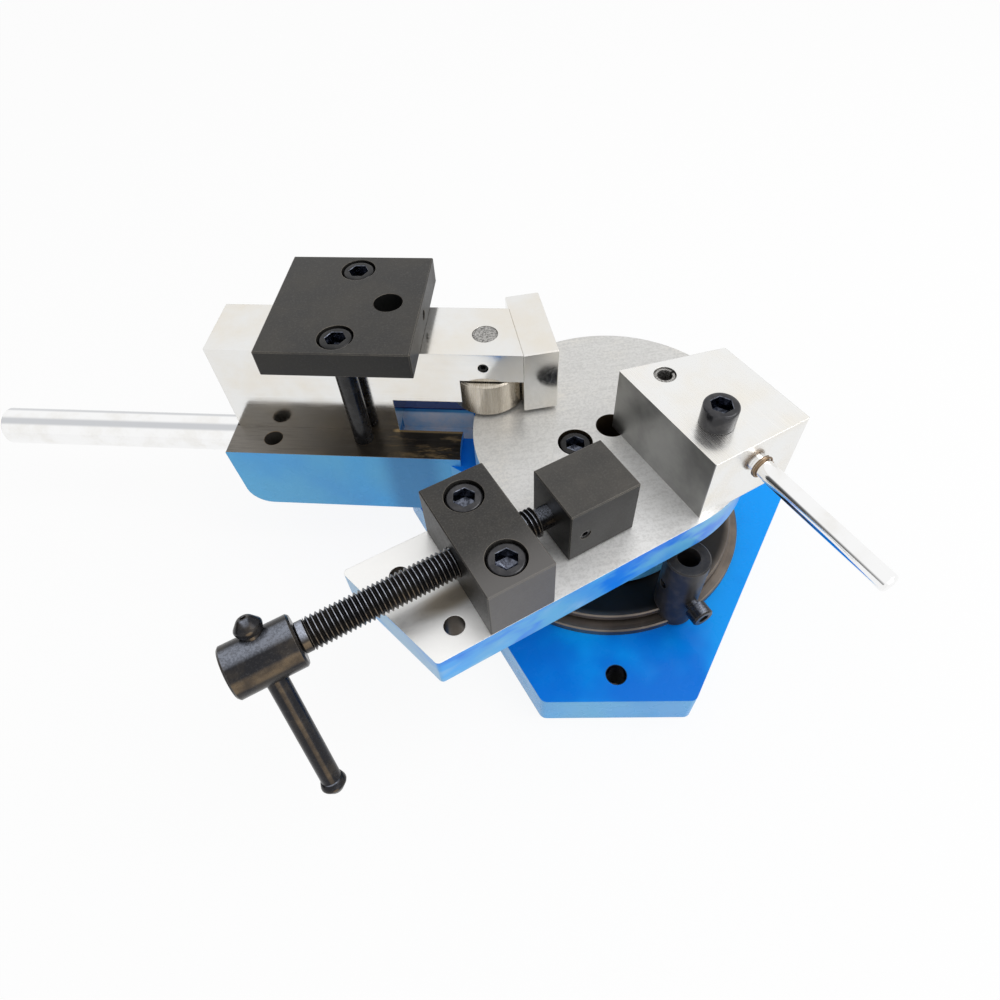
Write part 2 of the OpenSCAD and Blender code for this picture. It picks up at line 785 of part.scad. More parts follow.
// Hub, neck and beam cast in one piece, with a machined top that carries the form bar
module arm_casting() {
    root_x = pad_r + 5;
    side = [[hub_r, belly_z], [arm_tail - 2, belly_z], [arm_tail, pad_top], [hub_r, pad_top]];
    color([0.1, 0.5, 0.9])
    difference() {
        union() {
            translate([0, 0, hub_z]) cylinder(r = hub_r, h = hub_h);
            on_arm() {
                translate([0, 0, belly_z]) linear_extrude(hub_top - belly_z)
                    arm_neck_outline(root_x);
                difference() {
                    translate([0, arm_front, 0]) rotate([90, 0, 0]) linear_extrude(arm_w)
                        polygon(rounded(side, [0, arm_toe_r, 1, 0]));
                    translate([0, arm_back - eps, belly_z - eps])
                        cube([root_x, arm_w + 2 * eps, 1]);
                }
            }
        }
        translate([0, 0, hub_top]) cylinder(r = pad_r, h = pad_rise + eps);
        translate([0, 0, hub_z - eps]) cylinder(r = bush_r + seat_gap, h = hub_h + 2 * eps);
        on_arm() arm_cuts();
    }
}

// Sides of the neck, tangent to the hub
module arm_neck_outline(root_x) {
    front = [root_x, arm_front];
    back = [root_x, arm_back];
    front_dir = atan2(front[1], front[0]) + acos(hub_r / norm(front));
    back_dir = atan2(back[1], back[0]) - acos(hub_r / norm(back));
    polygon([[0, 0], polar(hub_r, back_dir), back, front, polar(hub_r, front_dir)]);
}

module arm_cuts() {
    // Channel under the form bar, open towards the bend axis
    translate([hub_r - eps, channel_mid - channel_w / 2, pad_top - channel_depth])
        cube([channel_tail - hub_r, channel_w, channel_depth + eps]);
    at_strap_screws() translate([0, 0, pad_top]) tapped_hole(m12, strap_thread + 4);
    translate([arm_tap_x, arm_tap_y, pad_top - arm_tap_depth])
        cylinder(d = arm_tap_d, h = arm_tap_depth + eps);
    translate([handle_in, arm_mid, handle_z]) rotate([0, 90, 0])
        cylinder(r = handle_d / 2 + seat_gap, h = handle_socket + eps);
    translate([handle_lock_x, arm_mid, belly_z - eps])
        cylinder(r = m8 / 2 + seat_gap, h = handle_z - belly_z);
}

module arm_bush() {
    color([0.72, 0.55, 0.25])
    translate([0, 0, hub_z]) ring(column_r + run_gap, bush_r, hub_h);
}

module arm_handle() {
    color([0.88, 0.88, 0.88])
    on_arm() translate([handle_in, arm_mid, handle_z]) rotate([0, 90, 0])
        turned_bar(handle_d / 2, handle_socket + handle_reach, 1.5);
}

module handle_lock_screw() {
    color([0.14, 0.14, 0.14])
    on_arm() translate([handle_lock_x, arm_mid, belly_z + 0.5]) rotate([180, 0, 0])
        set_screw(m8, handle_z - handle_d / 2 - belly_z - 0.5 - seat_gap);
}

// Plate that spans the form bar and holds it down on the arm
module strap_plate() {
    color([0.24, 0.23, 0.22])
    on_arm()
    difference() {
        translate([strap_x - strap_len / 2, arm_mid - strap_w / 2, bar_top])
            chamfered_block([strap_len, strap_w, strap_t], 0.6);
        at_strap_screws() translate([0, 0, bar_top + strap_t - m12 - 0.5])
            counterbored_hole(m12, strap_t, m12 + 0.5);
        translate([strap_hole_x, arm_mid, bar_top - eps])
            cylinder(d = strap_hole_d, h = strap_t + 2 * eps);
        translate([strap_x - strap_len / 2, arm_mid, bar_top + strap_t / 2]) rotate([0, -90, 0])
            tapped_hole(m6, strap_len / 2 - strap_hole_ahead);
    }
}

module strap_screws() {
    color([0.14, 0.14, 0.14])
    on_arm() at_strap_screws() translate([0, 0, bar_top + strap_t - m12 - 0.5])
        cap_screw(m12, bar_top + strap_t - m12 - 0.5 - pad_top + strap_thread);
}

module strap_side_screw() {
    color([0.14, 0.14, 0.14])
    on_arm() translate([strap_x - strap_len / 2 + 1, arm_mid, bar_top + strap_t / 2])
        rotate([0, -90, 0]) set_screw(m6, strap_len / 2 - strap_hole_ahead - strap_hole_d / 2 - 2);
}

// Long ground bar: stepped underside, slanted nose and a pocket for the roller
module form_bar() {
    plan = [[bar_tail, bar_front], [bar_nose, bar_front],
        [bar_nose + bar_w * tan(nose_slant), bar_back], [bar_tail, bar_back]];
    side = [[bar_tail, pad_top], [bar_step, pad_top], [bar_step, table_top + bar_lift],
        [0, table_top + bar_lift], [0, bar_top], [bar_tail, bar_top]];
    color([0.9, 0.9, 0.9])
    on_arm()
    difference() {
        intersection() {
            linear_extrude(bar_top) polygon(plan);
            translate([0, bar_front + eps, 0]) rotate([90, 0, 0])
                linear_extrude(bar_w + 2 * eps) polygon(side);
        }
        translate([roller_x, roller_y, 0]) cylinder(r = pocket_r, h = ledge_z);
        translate([0, bar_back - eps, 0]) cube([roller_x, bar_w + 2 * eps, ledge_z]);
        translate([roller_x, roller_y, 0]) cylinder(r = roller_pin_r + seat_gap, h = bar_top + eps);
        translate([roller_x, bar_front, plate_screw_z]) rotate([-90, 0, 0])
            tapped_hole(m6, bar_front - roller_y);
        translate([bar_nose, bar_front, 0]) rotate(180 + nose_slant)
            at_plate_screws() translate([0, 0, -plate_t + m8 + 0.5]) tapped_hole(m8, plate_screw_grip);
    }
}

module roller() {
    top = roller_h;
    color([0.62, 0.59, 0.53])
    on_arm() translate([roller_x, roller_y, roller_z])
    rotate_extrude()
        polygon([[pin_head_r + side_gap, 0], [roller_r - 1, 0], [roller_r, 1],
            [roller_r, top - 1], [roller_r - 1, top], [roller_pin_r + run_gap, top],
            [roller_pin_r + run_gap, pin_head_h + 2 * side_gap],
            [pin_head_r + side_gap, pin_head_h + 2 * side_gap]]);
}

// Headed pin: the head carries the roller and the plain end is locked in the bar
module roller_pin() {
    color([0.66, 0.65, 0.62])
    on_arm() translate([roller_x, roller_y, roller_z + side_gap])
    rotate_extrude()
        polygon([[0, 0], [pin_head_r - 0.4, 0], [pin_head_r, 0.4], [pin_head_r, pin_head_h],
            [roller_pin_r, pin_head_h], [roller_pin_r, bar_top - roller_z - side_gap - 0.5],
            [roller_pin_r - 0.5, bar_top - roller_z - side_gap],
            [0, bar_top - roller_z - side_gap]]);
}

module roller_pin_screw() {
    color([0.14, 0.14, 0.14])
    on_arm() translate([roller_x, bar_front - 1, plate_screw_z]) rotate([-90, 0, 0])
        set_screw(m6, bar_front - roller_y - roller_pin_r - 1 - seat_gap);
}

// Hardened plate on the bar's nose, hollowed behind to clear the roller
module forming_plate() {
    color([0.86, 0.86, 0.86])
    difference() {
        on_nose()
        difference() {
            translate([0, 0, plate_z]) chamfered_block([plate_t, plate_w, plate_h], 0.5);
            at_plate_screws() counterbored_hole(m8, plate_t, m8 + 0.5);
        }
        on_arm() translate([roller_x, roller_y, 0]) cylinder(r = pocket_r, h = ledge_z);
    }
}

module forming_plate_screws() {
    color([0.14, 0.14, 0.14])
    on_nose() at_plate_screws() cap_screw(m8, plate_screw_len);
}

// Post that hooks under the rim, with a bore for a stop rod
module stop_post() {
    groove_z = base_t + foot_t;
    color([0.1, 0.1, 0.1])
    difference() {
        on_stop() translate([stop_r, 0, base_t + 0.5])
            turned_bar(stop_d / 2, stop_top - base_t - 0.5, edge_c);
        // Room for the foot, the hook's groove and the rim
        cylinder(r = foot_r + side_gap, h = groove_z + side_gap);
        cylinder(r = rim_r - groove_depth + side_gap, h = groove_z + groove_h);
        translate([0, 0, groove_z + groove_h - side_gap])
            cylinder(r = rim_r + side_gap, h = rim_t + side_gap);
        on_stop() {
            translate([stop_r, 0, stop_floor]) cylinder(d = stop_bore_d, h = stop_h);
            translate([stop_r, 0, stop_floor]) tapped_hole(m8, stop_floor);
            translate([stop_r + stop_d / 2, 0, stop_clamp_z]) rotate([0, 90, 0])
                tapped_hole(m8, stop_d / 2);
            translate([stop_r, 0, stop_side_z]) rotate(stop_side_dir) rotate([0, 90, 0])
                cylinder(r = m6 / 2 + seat_gap, h = stop_d);
        }
    }
}

module stop_clamp_screw() {
    color([0.14, 0.14, 0.14])
    on_stop() translate([stop_r + stop_d / 2 + 3, 0, stop_clamp_z]) rotate([0, 90, 0])
        cap_screw(m8, 3 + (stop_d - stop_bore_d) / 2);
}

// Presses on the rim, so the hook is drawn up tight under it
module stop_lock_screw() {
    color([0.14, 0.14, 0.14])
    on_stop() translate([stop_r, 0, stop_floor]) set_screw(m8, stop_floor - flange_top);
}

module stop_side_screw() {
    color([0.14, 0.14, 0.14])
    on_stop() translate([stop_r, 0, stop_side_z]) rotate(stop_side_dir)
        translate([stop_d / 2 - 0.8, 0, 0]) rotate([0, 90, 0])
            set_screw(m6, (stop_d - stop_bore_d) / 2 - 1);
}

base_plate();
spindle();
spindle_screws();
thrust_washer();
cover_washer();
table();
table_screws();
table_dowels();
nut_block();
nut_block_screws();
form_block();
form_block_screw();
form_block_pin();
rod_lock_screw();
gauge_rod();
rod_collar();
pusher_block();
pusher_lock_screw();
lead_screw();
screw_hub();
hub_pin();
tommy_bar();
tommy_caps();
arm_casting();
arm_bush();
arm_handle();
handle_lock_screw();
strap_plate();
strap_screws();
strap_side_screw();
form_bar();
roller_pin();
roller_pin_screw();
forming_plate();
forming_plate_screws();
roller();
stop_post();
stop_clamp_screw();
stop_lock_screw();
stop_side_screw();
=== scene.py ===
"""Finish, detail pieces, light and camera of a bench bender for flat and square bar."""
import json
import math
from types import SimpleNamespace

import bmesh
import bpy
import numpy as np
from mathutils import Matrix, Vector


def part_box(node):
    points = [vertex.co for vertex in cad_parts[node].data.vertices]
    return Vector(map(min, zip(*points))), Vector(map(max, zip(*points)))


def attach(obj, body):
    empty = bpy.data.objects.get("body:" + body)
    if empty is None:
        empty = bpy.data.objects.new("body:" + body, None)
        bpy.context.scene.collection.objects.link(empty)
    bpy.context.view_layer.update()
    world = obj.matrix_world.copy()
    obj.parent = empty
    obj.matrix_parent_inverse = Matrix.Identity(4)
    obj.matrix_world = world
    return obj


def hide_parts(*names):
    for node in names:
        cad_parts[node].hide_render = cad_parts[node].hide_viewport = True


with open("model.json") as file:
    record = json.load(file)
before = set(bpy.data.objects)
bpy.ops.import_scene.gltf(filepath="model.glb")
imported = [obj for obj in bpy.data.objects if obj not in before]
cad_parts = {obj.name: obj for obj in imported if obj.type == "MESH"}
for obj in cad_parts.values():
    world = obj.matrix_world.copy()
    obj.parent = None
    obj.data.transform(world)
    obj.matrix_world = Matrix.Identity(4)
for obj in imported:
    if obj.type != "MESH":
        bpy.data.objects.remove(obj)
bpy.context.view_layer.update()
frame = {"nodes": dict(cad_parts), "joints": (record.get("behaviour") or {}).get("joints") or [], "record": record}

MM = 0.001
# Which part of a vector is which
X, Y, Z = 0, 1, 2
UP = Vector((0, 0, 1))

# Camera: where it stands, its direction from +Y towards +X, its dip below level and its roll
CAMERA_PLACE = Vector((-0.1804, -0.2089, 0.3996))
CAMERA_TURN = math.radians(26.691)
CAMERA_DIP = math.radians(52.578)
CAMERA_ROLL = math.radians(-3.743)
CAMERA_LENS = 24.155
CAMERA_SENSOR = 36
CAMERA_NEAR = 10 * MM

# Light: fill from all round, two large soft lamps and a dark side of the room for the metals
FILL = 0.7
# Lamps: name, place, diameter and power
LAMPS = [("key_lamp", Vector((0.7, -0.5, 1.4)), 1.1, 8.0),
         ("front_lamp", Vector((0.25, -1.5, 0.55)), 1.2, 3.5)]
DARK_SIDE = Vector((-0.85, 0.5, 0.0)).normalized()
DARK_LEVEL = 0.1
# The dark side begins at the first of these cosines from its middle, and is full at the second
DARK_FROM = 0.84
DARK_FULL = 0.97
# Turned black pieces get a painted gold-brown reflection on the side that faces this way
GOLD_REFLECTION_SIDE = Vector((0.0, -0.91, 0.41))
FLOOR_HALF = 3.0
FLOOR_DROP = 0.2 * MM
FLOOR_GLOW = 0.9
# The floor doesn't glow under the base's bolt holes, so that they are dark inside
HOLE_DARK = 9 * MM
HOLE_BRIGHT = 13 * MM

# Radius of each kind of hole that is dark or bare inside
BENCH_BOLT_HOLE = 6 * MM
TABLE_BORE = 9 * MM
TONGUE_HOLE = 5.2 * MM
TAPPED_HOLE = 5.8 * MM
STRAP_HOLE = 8.2 * MM
# Room round a cap screw's head in its counterbore
COUNTERBORE_GAP = 1 * MM
# Out from a hole's wall: where its dark inside ends and where the finish around it is full
HOLE_RIM = (0.2 * MM, 0.4 * MM)

# M12 cap screws: thread, head across and hexagon across flats
M12 = 12 * MM
M12_HEAD = 18 * MM
M12_HEXAGON = 10 * MM

# Lead screw: its thread, how much thicker the CAD's collar is, and how much thinner the one here
SCREW_PITCH = 2.31 * MM
THREAD_DEPTH = 1.4 * MM
CAD_COLLAR_STEP = 0.3 * MM
COLLAR_STEP = 0.4 * MM
# The plain collar at the knob: its end from the knob's face, the gap before it and its chamfers
COLLAR_LENGTH = 4.5 * MM
COLLAR_GAP = 0.3 * MM
COLLAR_CHAMFER = 0.5 * MM
THREAD_CHAMFER = 0.4 * MM
# The neck in the pusher, with the groove for the lock screw: its middle is this far inside
NECK_RADIUS = 6 * MM
NECK_CHAMFER = 0.8 * MM
NECK_TAPER = 1 * MM
GROOVE_INSIDE = 9 * MM
GROOVE_HALF = 2.3 * MM
GROOVE_DEPTH = 1.2 * MM

# Cap of the tommy bar: height and radius in mm, from its seat over its cone into the drilled top
TOMMY_CAP = [(0, 0), (0, 5.0), (0.5, 5.6), (2.6, 6.3), (3.5, 6.35), (4.3, 6.0), (7.2, 3.6), (7.8, 2.9),
             (8, 2.5), (8, 1.5), (7.8, 1.3), (6, 1.2), (5.6, 0)]


def joint_axis(name):
    """Axis of a joint, from the frame."""
    found = next(j for j in frame["joints"] if j["name"] == name)
    return Vector(found["axis"]).normalized()


arm_way = joint_axis("bar_slide")
ARM_TURN = math.atan2(arm_way.y, arm_way.x)
to_arm = Matrix.Rotation(ARM_TURN, 4, "Z")


def box_in(node, turn):
    """Lowest and highest corner of a CAD node in a frame turned by the given matrix."""
    back = turn.inverted()
    points = np.array([back @ v.co for v in frame["nodes"][node].data.vertices])
    return Vector(points.min(0)), Vector(points.max(0))


def middle(node):
    """Middle of a CAD node's box."""
    low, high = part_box(node)
    return (low + high) / 2


def mount_named(name):
    """A mount, from the frame's record."""
    return next(m for m in frame["record"]["mounts"] if m["name"] == name)


def mount_place(name):
    """A mount's place in plan."""
    mount = mount_named(name)
    return Vector((mount["pos_m"][0], mount["pos_m"][1], 0))


def bolt_places():
    """Places of the three bench bolts in plan."""
    reach = mount_named("bench_bolts")["dims"]["pcd_mm"] / 2 * MM
    return [Matrix.Rotation(turn * 2 * math.pi / 3, 3, "Z") @ Vector((reach, 0, 0)) for turn in range(3)]


def table_holes():
    """Centre and radius of each hole of the table that shows, read from the frame."""
    holes = [(Vector((0, 0, 0)), TABLE_BORE)]
    low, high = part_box("table_screws")
    head = (high.y - low.y) / 2
    for x in (low.x + head, high.x - head):
        holes.append((Vector((x, 0, 0)), head + COUNTERBORE_GAP))
    for name in ("tongue_hole_front", "tongue_hole_back"):
        holes.append((mount_place(name), TONGUE_HOLE))
    return holes


def thread_stop():
    """Where the lead screw's thread ends, between the nut block and the pusher."""
    nut_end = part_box("nut_block")[1].x
    return nut_end + 0.55 * (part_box("pusher_block")[0].x - nut_end)


def rgb(red, green, blue):
    return (red, green, blue, 1.0)


def tinted(colour, shares):
    """A colour with each of its three parts multiplied by its own share."""
    return rgb(*[part * share for part, share in zip(colour, shares)])


class Tree:
    """A node tree, with short calls for the nodes that the finishes and the world share."""

    def __init__(self, tree):
        self.tree = tree

    def node(self, kind, inputs=None, **settings):
        made = self.tree.nodes.new(kind)
        for key, value in settings.items():
            setattr(made, key, value)
        for key, value in (inputs or {}).items():
            self.put(made.inputs[key], value)
        return made

    def put(self, socket, value):
        """Links a socket to a value that is a socket itself, or sets it to a plain value."""
        if isinstance(value, bpy.types.NodeSocket):
            self.tree.links.new(value, socket)
        else:
            socket.default_value = value

    def math(self, operation, a, b=0.0, c=0.0):
        return self.node("ShaderNodeMath", {0: a, 1: b, 2: c}, operation=operation).outputs[0]

    def times(self, a, b):
        return self.math("MULTIPLY", a, b)

    def most(self, a, b):
        return self.math("MAXIMUM", a, b)

    def less(self, a, b):
        return self.math("SUBTRACT", a, b)

    def rest(self, share):
        """What a share leaves of one."""
        return self.less(1.0, share)

    def vector(self, operation, a, b=(0, 0, 0)):
        made = self.node("ShaderNodeVectorMath", {0: a, 1: b}, operation=operation)
        return made.outputs["Value" if operation in ("LENGTH", "DOT_PRODUCT", "DISTANCE") else "Vector"]

    def part(self, vector, axis):
        """One part of a vector."""
        return self.node("ShaderNodeSeparateXYZ", {0: vector}).outputs[axis]

    def join(self, x=0.0, y=0.0, z=0.0):
        return self.node("ShaderNodeCombineXYZ", {0: x, 1: y, 2: z}).outputs[0]

    def noise(self, vector, scale=1.0, detail=3.0, roughness=0.55):
        made = self.node("ShaderNodeTexNoise", {"Vector": vector, "Scale": scale, "Detail": detail,
                                                "Roughness": roughness})
        return made.outputs[0]

    def between(self, value, low, high, to_low=0.0, to_high=1.0):
        """Smooth step of a value, from to_low at the low limit to to_high at the high one."""
        return self.node("ShaderNodeMapRange", {0: value, 1: low, 2: high, 3: to_low, 4: to_high},
                         interpolation_type="SMOOTHSTEP").outputs[0]

    def mix_numbers(self, share, a, b):
        """Mix of two plain numbers."""
        return self.node("ShaderNodeMix", {0: share, 2: a, 3: b}).outputs[0]


class Recipe(Tree):
    """A material's node tree, with its shader and the object's own place and facing."""

    def __init__(self, name, **constants):
        self.material = bpy.data.materials.new(name)
        self.material.use_nodes = True
        super().__init__(self.material.node_tree)
        self.shader = self.tree.nodes["Principled BSDF"]
        coordinates = self.tree.nodes.new("ShaderNodeTexCoord")
        self.place = coordinates.outputs["Object"]
        self.facing = coordinates.outputs["Normal"]
        for socket, value in constants.items():
            self.shader.inputs[socket.replace("_", " ")].default_value = value

    def stretched(self, scale, turn=0.0):
        """Object place, turned about Z and stretched."""
        turned_place = self.node("ShaderNodeMapping", {"Vector": self.place, "Rotation": (0, 0, turn)})
        return self.vector("MULTIPLY", turned_place.outputs[0], scale)

    def mix(self, share, a, b):
        """Mix of two colours."""
        return self.node("ShaderNodeMix", {0: share, 6: a, 7: b}, data_type="RGBA").outputs[2]

    def reach(self, centre, weights):
        """Distance from a centre, with each direction weighted."""
        from_centre = self.vector("SUBTRACT", self.place, centre)
        return self.vector("LENGTH", self.vector("MULTIPLY", from_centre, weights))

    def outside_hole(self, centre, radius):
        """Mask that is 0 inside an upright hole and 1 around it."""
        spread = self.vector("DISTANCE", self.vector("MULTIPLY", self.place, (1, 1, 0)), centre)
        return self.between(spread, *[radius + rim for rim in HOLE_RIM])

    def upright(self):
        """Mask that is 1 on upright faces."""
        return self.between(self.math("ABSOLUTE", self.part(self.facing, Z)), 0.6, 0.4)

    def upward(self):
        """Mask that is 1 on faces that look up."""
        return self.between(self.part(self.facing, Z), 0.6, 0.8)

    def rounded_edges(self, radius):
        """Normal as if each edge were rounded, and a mask that is 1 on the edges."""
        bevel = self.node("ShaderNodeBevel", {"Radius": radius}, samples=6).outputs[0]
        flat = self.node("ShaderNodeNewGeometry").outputs["Normal"]
        edge = self.between(self.vector("DOT_PRODUCT", bevel, flat), 0.995, 0.88)
        return bevel, edge

    def bump(self, height, distance, strength=0.5, normal=None):
        made = self.node("ShaderNodeBump", {"Height": height, "Distance": distance, "Strength": strength})
        if normal is not None:
            self.put(made.inputs["Normal"], normal)
        return made.outputs[0]

    def finish(self, colour=None, roughness=None, metallic=None, normal=None):
        wanted = {"Base Color": colour, "Roughness": roughness, "Metallic": metallic, "Normal": normal}
        for socket, value in wanted.items():
            if value is not None:
                self.put(self.shader.inputs[socket], value)
        return self.material


PAINT = rgb(0.0015, 0.35, 1.0)
PAINT_DEEP = rgb(0.0003, 0.19, 0.78)
PAINT_SIDE_REFLECTION = rgb(0.125, 0.44, 0.72)
PAINT_REFLECTION_WHITE = rgb(0.36, 0.58, 0.76)
PAINT_EDGE_HIGHLIGHT = rgb(0.1, 0.38, 0.85)
PAINT_GLOSS = {"Coat_Weight": 0.05, "Coat_Roughness": 0.1, "Specular_IOR_Level": 0.16}
HOLE_SHADE = rgb(0.004, 0.005, 0.012)


def paint_parts(recipe, least_reflection=0.7):
    """Colour, roughness and height of the blue paint, with a painted pale reflection in patches on upright faces.
    """
    cloud = recipe.noise(recipe.place, 13, 3)
    peel = recipe.noise(recipe.place, 420, 2, 0.5)
    colour = recipe.mix(recipe.between(cloud, 0.38, 0.6), PAINT_DEEP, PAINT)
    # Painted pale reflection on upright faces, in patches, from the given least share up
    side_reflection = recipe.between(recipe.noise(recipe.place, 16, 2), 0.34, 0.62, least_reflection, 0.95)
    colour = recipe.mix(recipe.times(recipe.upright(), side_reflection), colour, PAINT_SIDE_REFLECTION)
    roughness = recipe.between(recipe.noise(recipe.place, 60, 4), 0.3, 0.75, 0.22, 0.36)
    return colour, roughness, peel


def blue_paint():
    """Paint of the base plate, with painted shade inside its bolt holes and a painted highlight along its edges.
    """
    recipe = Recipe("blue_paint", **PAINT_GLOSS)
    colour, roughness, peel = paint_parts(recipe)
    # Painted shade inside the bolt holes
    for place in bolt_places():
        colour = recipe.mix(recipe.outside_hole(place, BENCH_BOLT_HOLE), HOLE_SHADE, colour)
    edge_normal, edge = recipe.rounded_edges(0.6 * MM)
    # Painted highlight along the edges
    colour = recipe.mix(recipe.times(edge, 0.35), colour, PAINT_EDGE_HIGHLIGHT)
    return recipe.finish(colour, roughness, None, recipe.bump(peel, 0.05 * MM, normal=edge_normal))


TABLE_DARK = rgb(0.59, 0.585, 0.57)
TABLE_PLAIN = rgb(0.7, 0.695, 0.68)
TABLE_WARM = rgb(0.74, 0.71, 0.65)
TABLE_FRONT = rgb(0.92, 0.92, 0.92)
TABLE_TONGUE = rgb(0.99, 0.985, 0.97)
TABLE_SCREW_REFLECTION = rgb(0.4, 0.3, 0.16)
TABLE_HOLE_BROWN = rgb(0.05, 0.036, 0.022)
# Along X: where the tongue's bare steel begins and is full
TONGUE_BARE = (-90 * MM, -135 * MM)
# Along Y: where the top's brighter front begins and is full
FRONT_BRIGHT = (20 * MM, -50 * MM)
# Along X: where the painted pale reflection on the side grows, towards the tongue and towards the far end
REFLECTION_LEFT = (-55 * MM, -85 * MM)
REFLECTION_RIGHT = (40 * MM, 75 * MM)
# The painted brown reflection of the lead screw: its place from the nut block's end and the screw's middle, and
# its two radii
SCREW_REFLECTION_OFFSET = 7 * MM
SCREW_REFLECTION_FADES = (26 * MM, 8 * MM)
GRINDING_TURN = math.radians(20)


def table_marks(recipe):
    """Fine straight marks of the grinding, with speckle between them."""
    grain = recipe.noise(recipe.stretched((60, 500, 60), GRINDING_TURN), 1, 4, 0.7)
    speckle = recipe.noise(recipe.place, 620, 3, 0.75)
    return recipe.math("MULTIPLY_ADD", grain, 0.35, recipe.times(speckle, 0.65))


def table_steel(recipe, marks, tongue):
    """Ground steel, brighter to the front and on the tongue, with a painted brown reflection of the lead screw."""
    haze = recipe.noise(recipe.place, 22, 4, 0.6)
    warm = recipe.mix(recipe.between(haze, 0.4, 0.75), TABLE_PLAIN, TABLE_WARM)
    steel = recipe.mix(recipe.between(marks, 0.38, 0.6), TABLE_DARK, warm)
    near = recipe.between(recipe.part(recipe.place, Y), *FRONT_BRIGHT, 0, 0.8)
    near = recipe.times(near, recipe.between(marks, 0.36, 0.6, 0.55, 1.0))
    steel = recipe.mix(near, steel, TABLE_FRONT)
    steel = recipe.mix(tongue, steel, TABLE_TONGUE)
    # Painted brown reflection of the lead screw on the table, near the nut block
    stain = Vector((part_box("nut_block")[0].x - SCREW_REFLECTION_OFFSET, middle("lead_screw").y - SCREW_REFLECTION_OFFSET, 0))
    screw_reflection = recipe.between(recipe.reach(stain, (1, 3, 0)), *SCREW_REFLECTION_FADES, 0, 0.65)
    return recipe.mix(screw_reflection, steel, TABLE_SCREW_REFLECTION)


def table_paint(recipe, blue):
    """Side of the table: deep-blue patches and patches of painted pale reflection, which grow far out and on the
    tongue's end.
    """
    along = recipe.part(recipe.place, X)
    patches = recipe.noise(recipe.stretched((24, 24, 60)), 1, 3, 0.6)
    # The painted pale reflection grows far out along X and on the end face towards -X
    far_out = recipe.most(recipe.between(along, *REFLECTION_LEFT, 0, 0.14),
                          recipe.between(along, *REFLECTION_RIGHT, 0, 0.25))
    end_face = recipe.between(recipe.part(recipe.facing, X), -0.6, -0.9, 0, 0.3)
    patches = recipe.math("ADD", patches, recipe.most(far_out, end_face))
    blue = recipe.mix(recipe.between(patches, 0.42, 0.6), PAINT_DEEP, blue)
    # Painted pale reflection in patches
    return recipe.mix(recipe.between(patches, 0.6, 0.85, 0, 0.7), blue, PAINT_REFLECTION_WHITE)


def table_finish():
    """Ground top with its fine straight marks, blue sides, bare holes."""
    recipe = Recipe("table_finish", Specular_IOR_Level=0.3)
    blue, _, peel = paint_parts(recipe, 0.3)
    marks = table_marks(recipe)
    tongue = recipe.between(recipe.part(recipe.place, X), *TONGUE_BARE, 0, 0.9)
    side = recipe.upright()
    outside = 1.0
    for centre, radius in table_holes():
        outside = recipe.times(recipe.outside_hole(centre, radius), outside)
    painted = recipe.times(side, outside)
    in_hole = recipe.times(side, recipe.rest(outside))
    steel = recipe.mix(in_hole, table_steel(recipe, marks, tongue), TABLE_HOLE_BROWN)
    colour = recipe.mix(painted, steel, table_paint(recipe, blue))
    paint_roughness = recipe.between(painted, 0, 1, 0, 0.3)
    steel_roughness = recipe.less(recipe.between(marks, 0.3, 0.7, 0.34, 0.44), painted)
    metallic = recipe.times(recipe.rest(painted), recipe.math("MULTIPLY_ADD", tongue, 0.4, 0.5))
    height = recipe.math("ADD", marks, recipe.times(peel, 0.2))
    normal = recipe.bump(height, 0.005 * MM, normal=recipe.rounded_edges(0.35 * MM)[0])
    return recipe.finish(colour, recipe.most(paint_roughness, steel_roughness), metallic, normal)


PAINT_SHADED = rgb(0.05, 0.19, 0.42)
LEDGE_SHADE_BLUE = rgb(0.005, 0.04, 0.2)
CHANNEL_REFLECTION_BLUE = rgb(0.6, 0.8, 1.0)
CHANNEL_REFLECTION_GREY = rgb(0.96, 0.93, 0.96)
TOP_DARK = rgb(0.04, 0.034, 0.028)
TOP_BROWN = rgb(0.09, 0.072, 0.05)
TOP_HANDLE_REFLECTION = rgb(0.2, 0.185, 0.165)
TOP_TOE_DARK_REFLECTION = rgb(0.012, 0.011, 0.009)
TOP_BEHIND = rgb(0.085, 0.08, 0.075)
TOP_MARKS = rgb(0.07, 0.064, 0.056)
TOP_SEAM = rgb(0.02, 0.017, 0.014)
TOP_OCHRE = rgb(0.36, 0.25, 0.12)
TOP_EDGE = rgb(0.24, 0.16, 0.08)
# Along the arm: where each change of its finish begins and is full
ARM_SHADE_BEGINS = (142 * MM, 128 * MM)
ARM_SHADE_ENDS = (95 * MM, 110 * MM)
HANDLE_END = (150 * MM, 225 * MM)
TOE_END = (140 * MM, 110 * MM)
LEDGE_END = (133.5 * MM, 132.5 * MM)
LIP_END = (134 * MM, 130 * MM)
SCRAPES_END = (150 * MM, 100 * MM)
# Down from the arm's machined top: where each of these begins and is full
TOP_SKIN = (0.6 * MM, 0.3 * MM)
TOP_WEAR_AND_SHADE = (1.6 * MM, 1.1 * MM)
FLOOR_BEGINS = (15 * MM, 17 * MM)
FLOOR_ENDS = (22 * MM, 20 * MM)
WALL_BEGINS = (3 * MM, 5 * MM)
# Back from the seam at the form bar's front: where each of these begins and is full
TOP_GREYER = (0, 0.4 * MM)
WALL_BEHIND = (17 * MM, 19 * MM)
LEDGE_BEHIND = (18.5 * MM, 19.5 * MM)
# Half widths of the seam and of the ochre lip before it: where each begins and is full
SEAM_HALF = (0.5 * MM, 0.2 * MM)
LIP_HALF = (1.3 * MM, 0.4 * MM)
LIP_AHEAD = 0.9 * MM
# How far the seam lies behind the form bar's own front
SEAM_INSET = 0.6 * MM


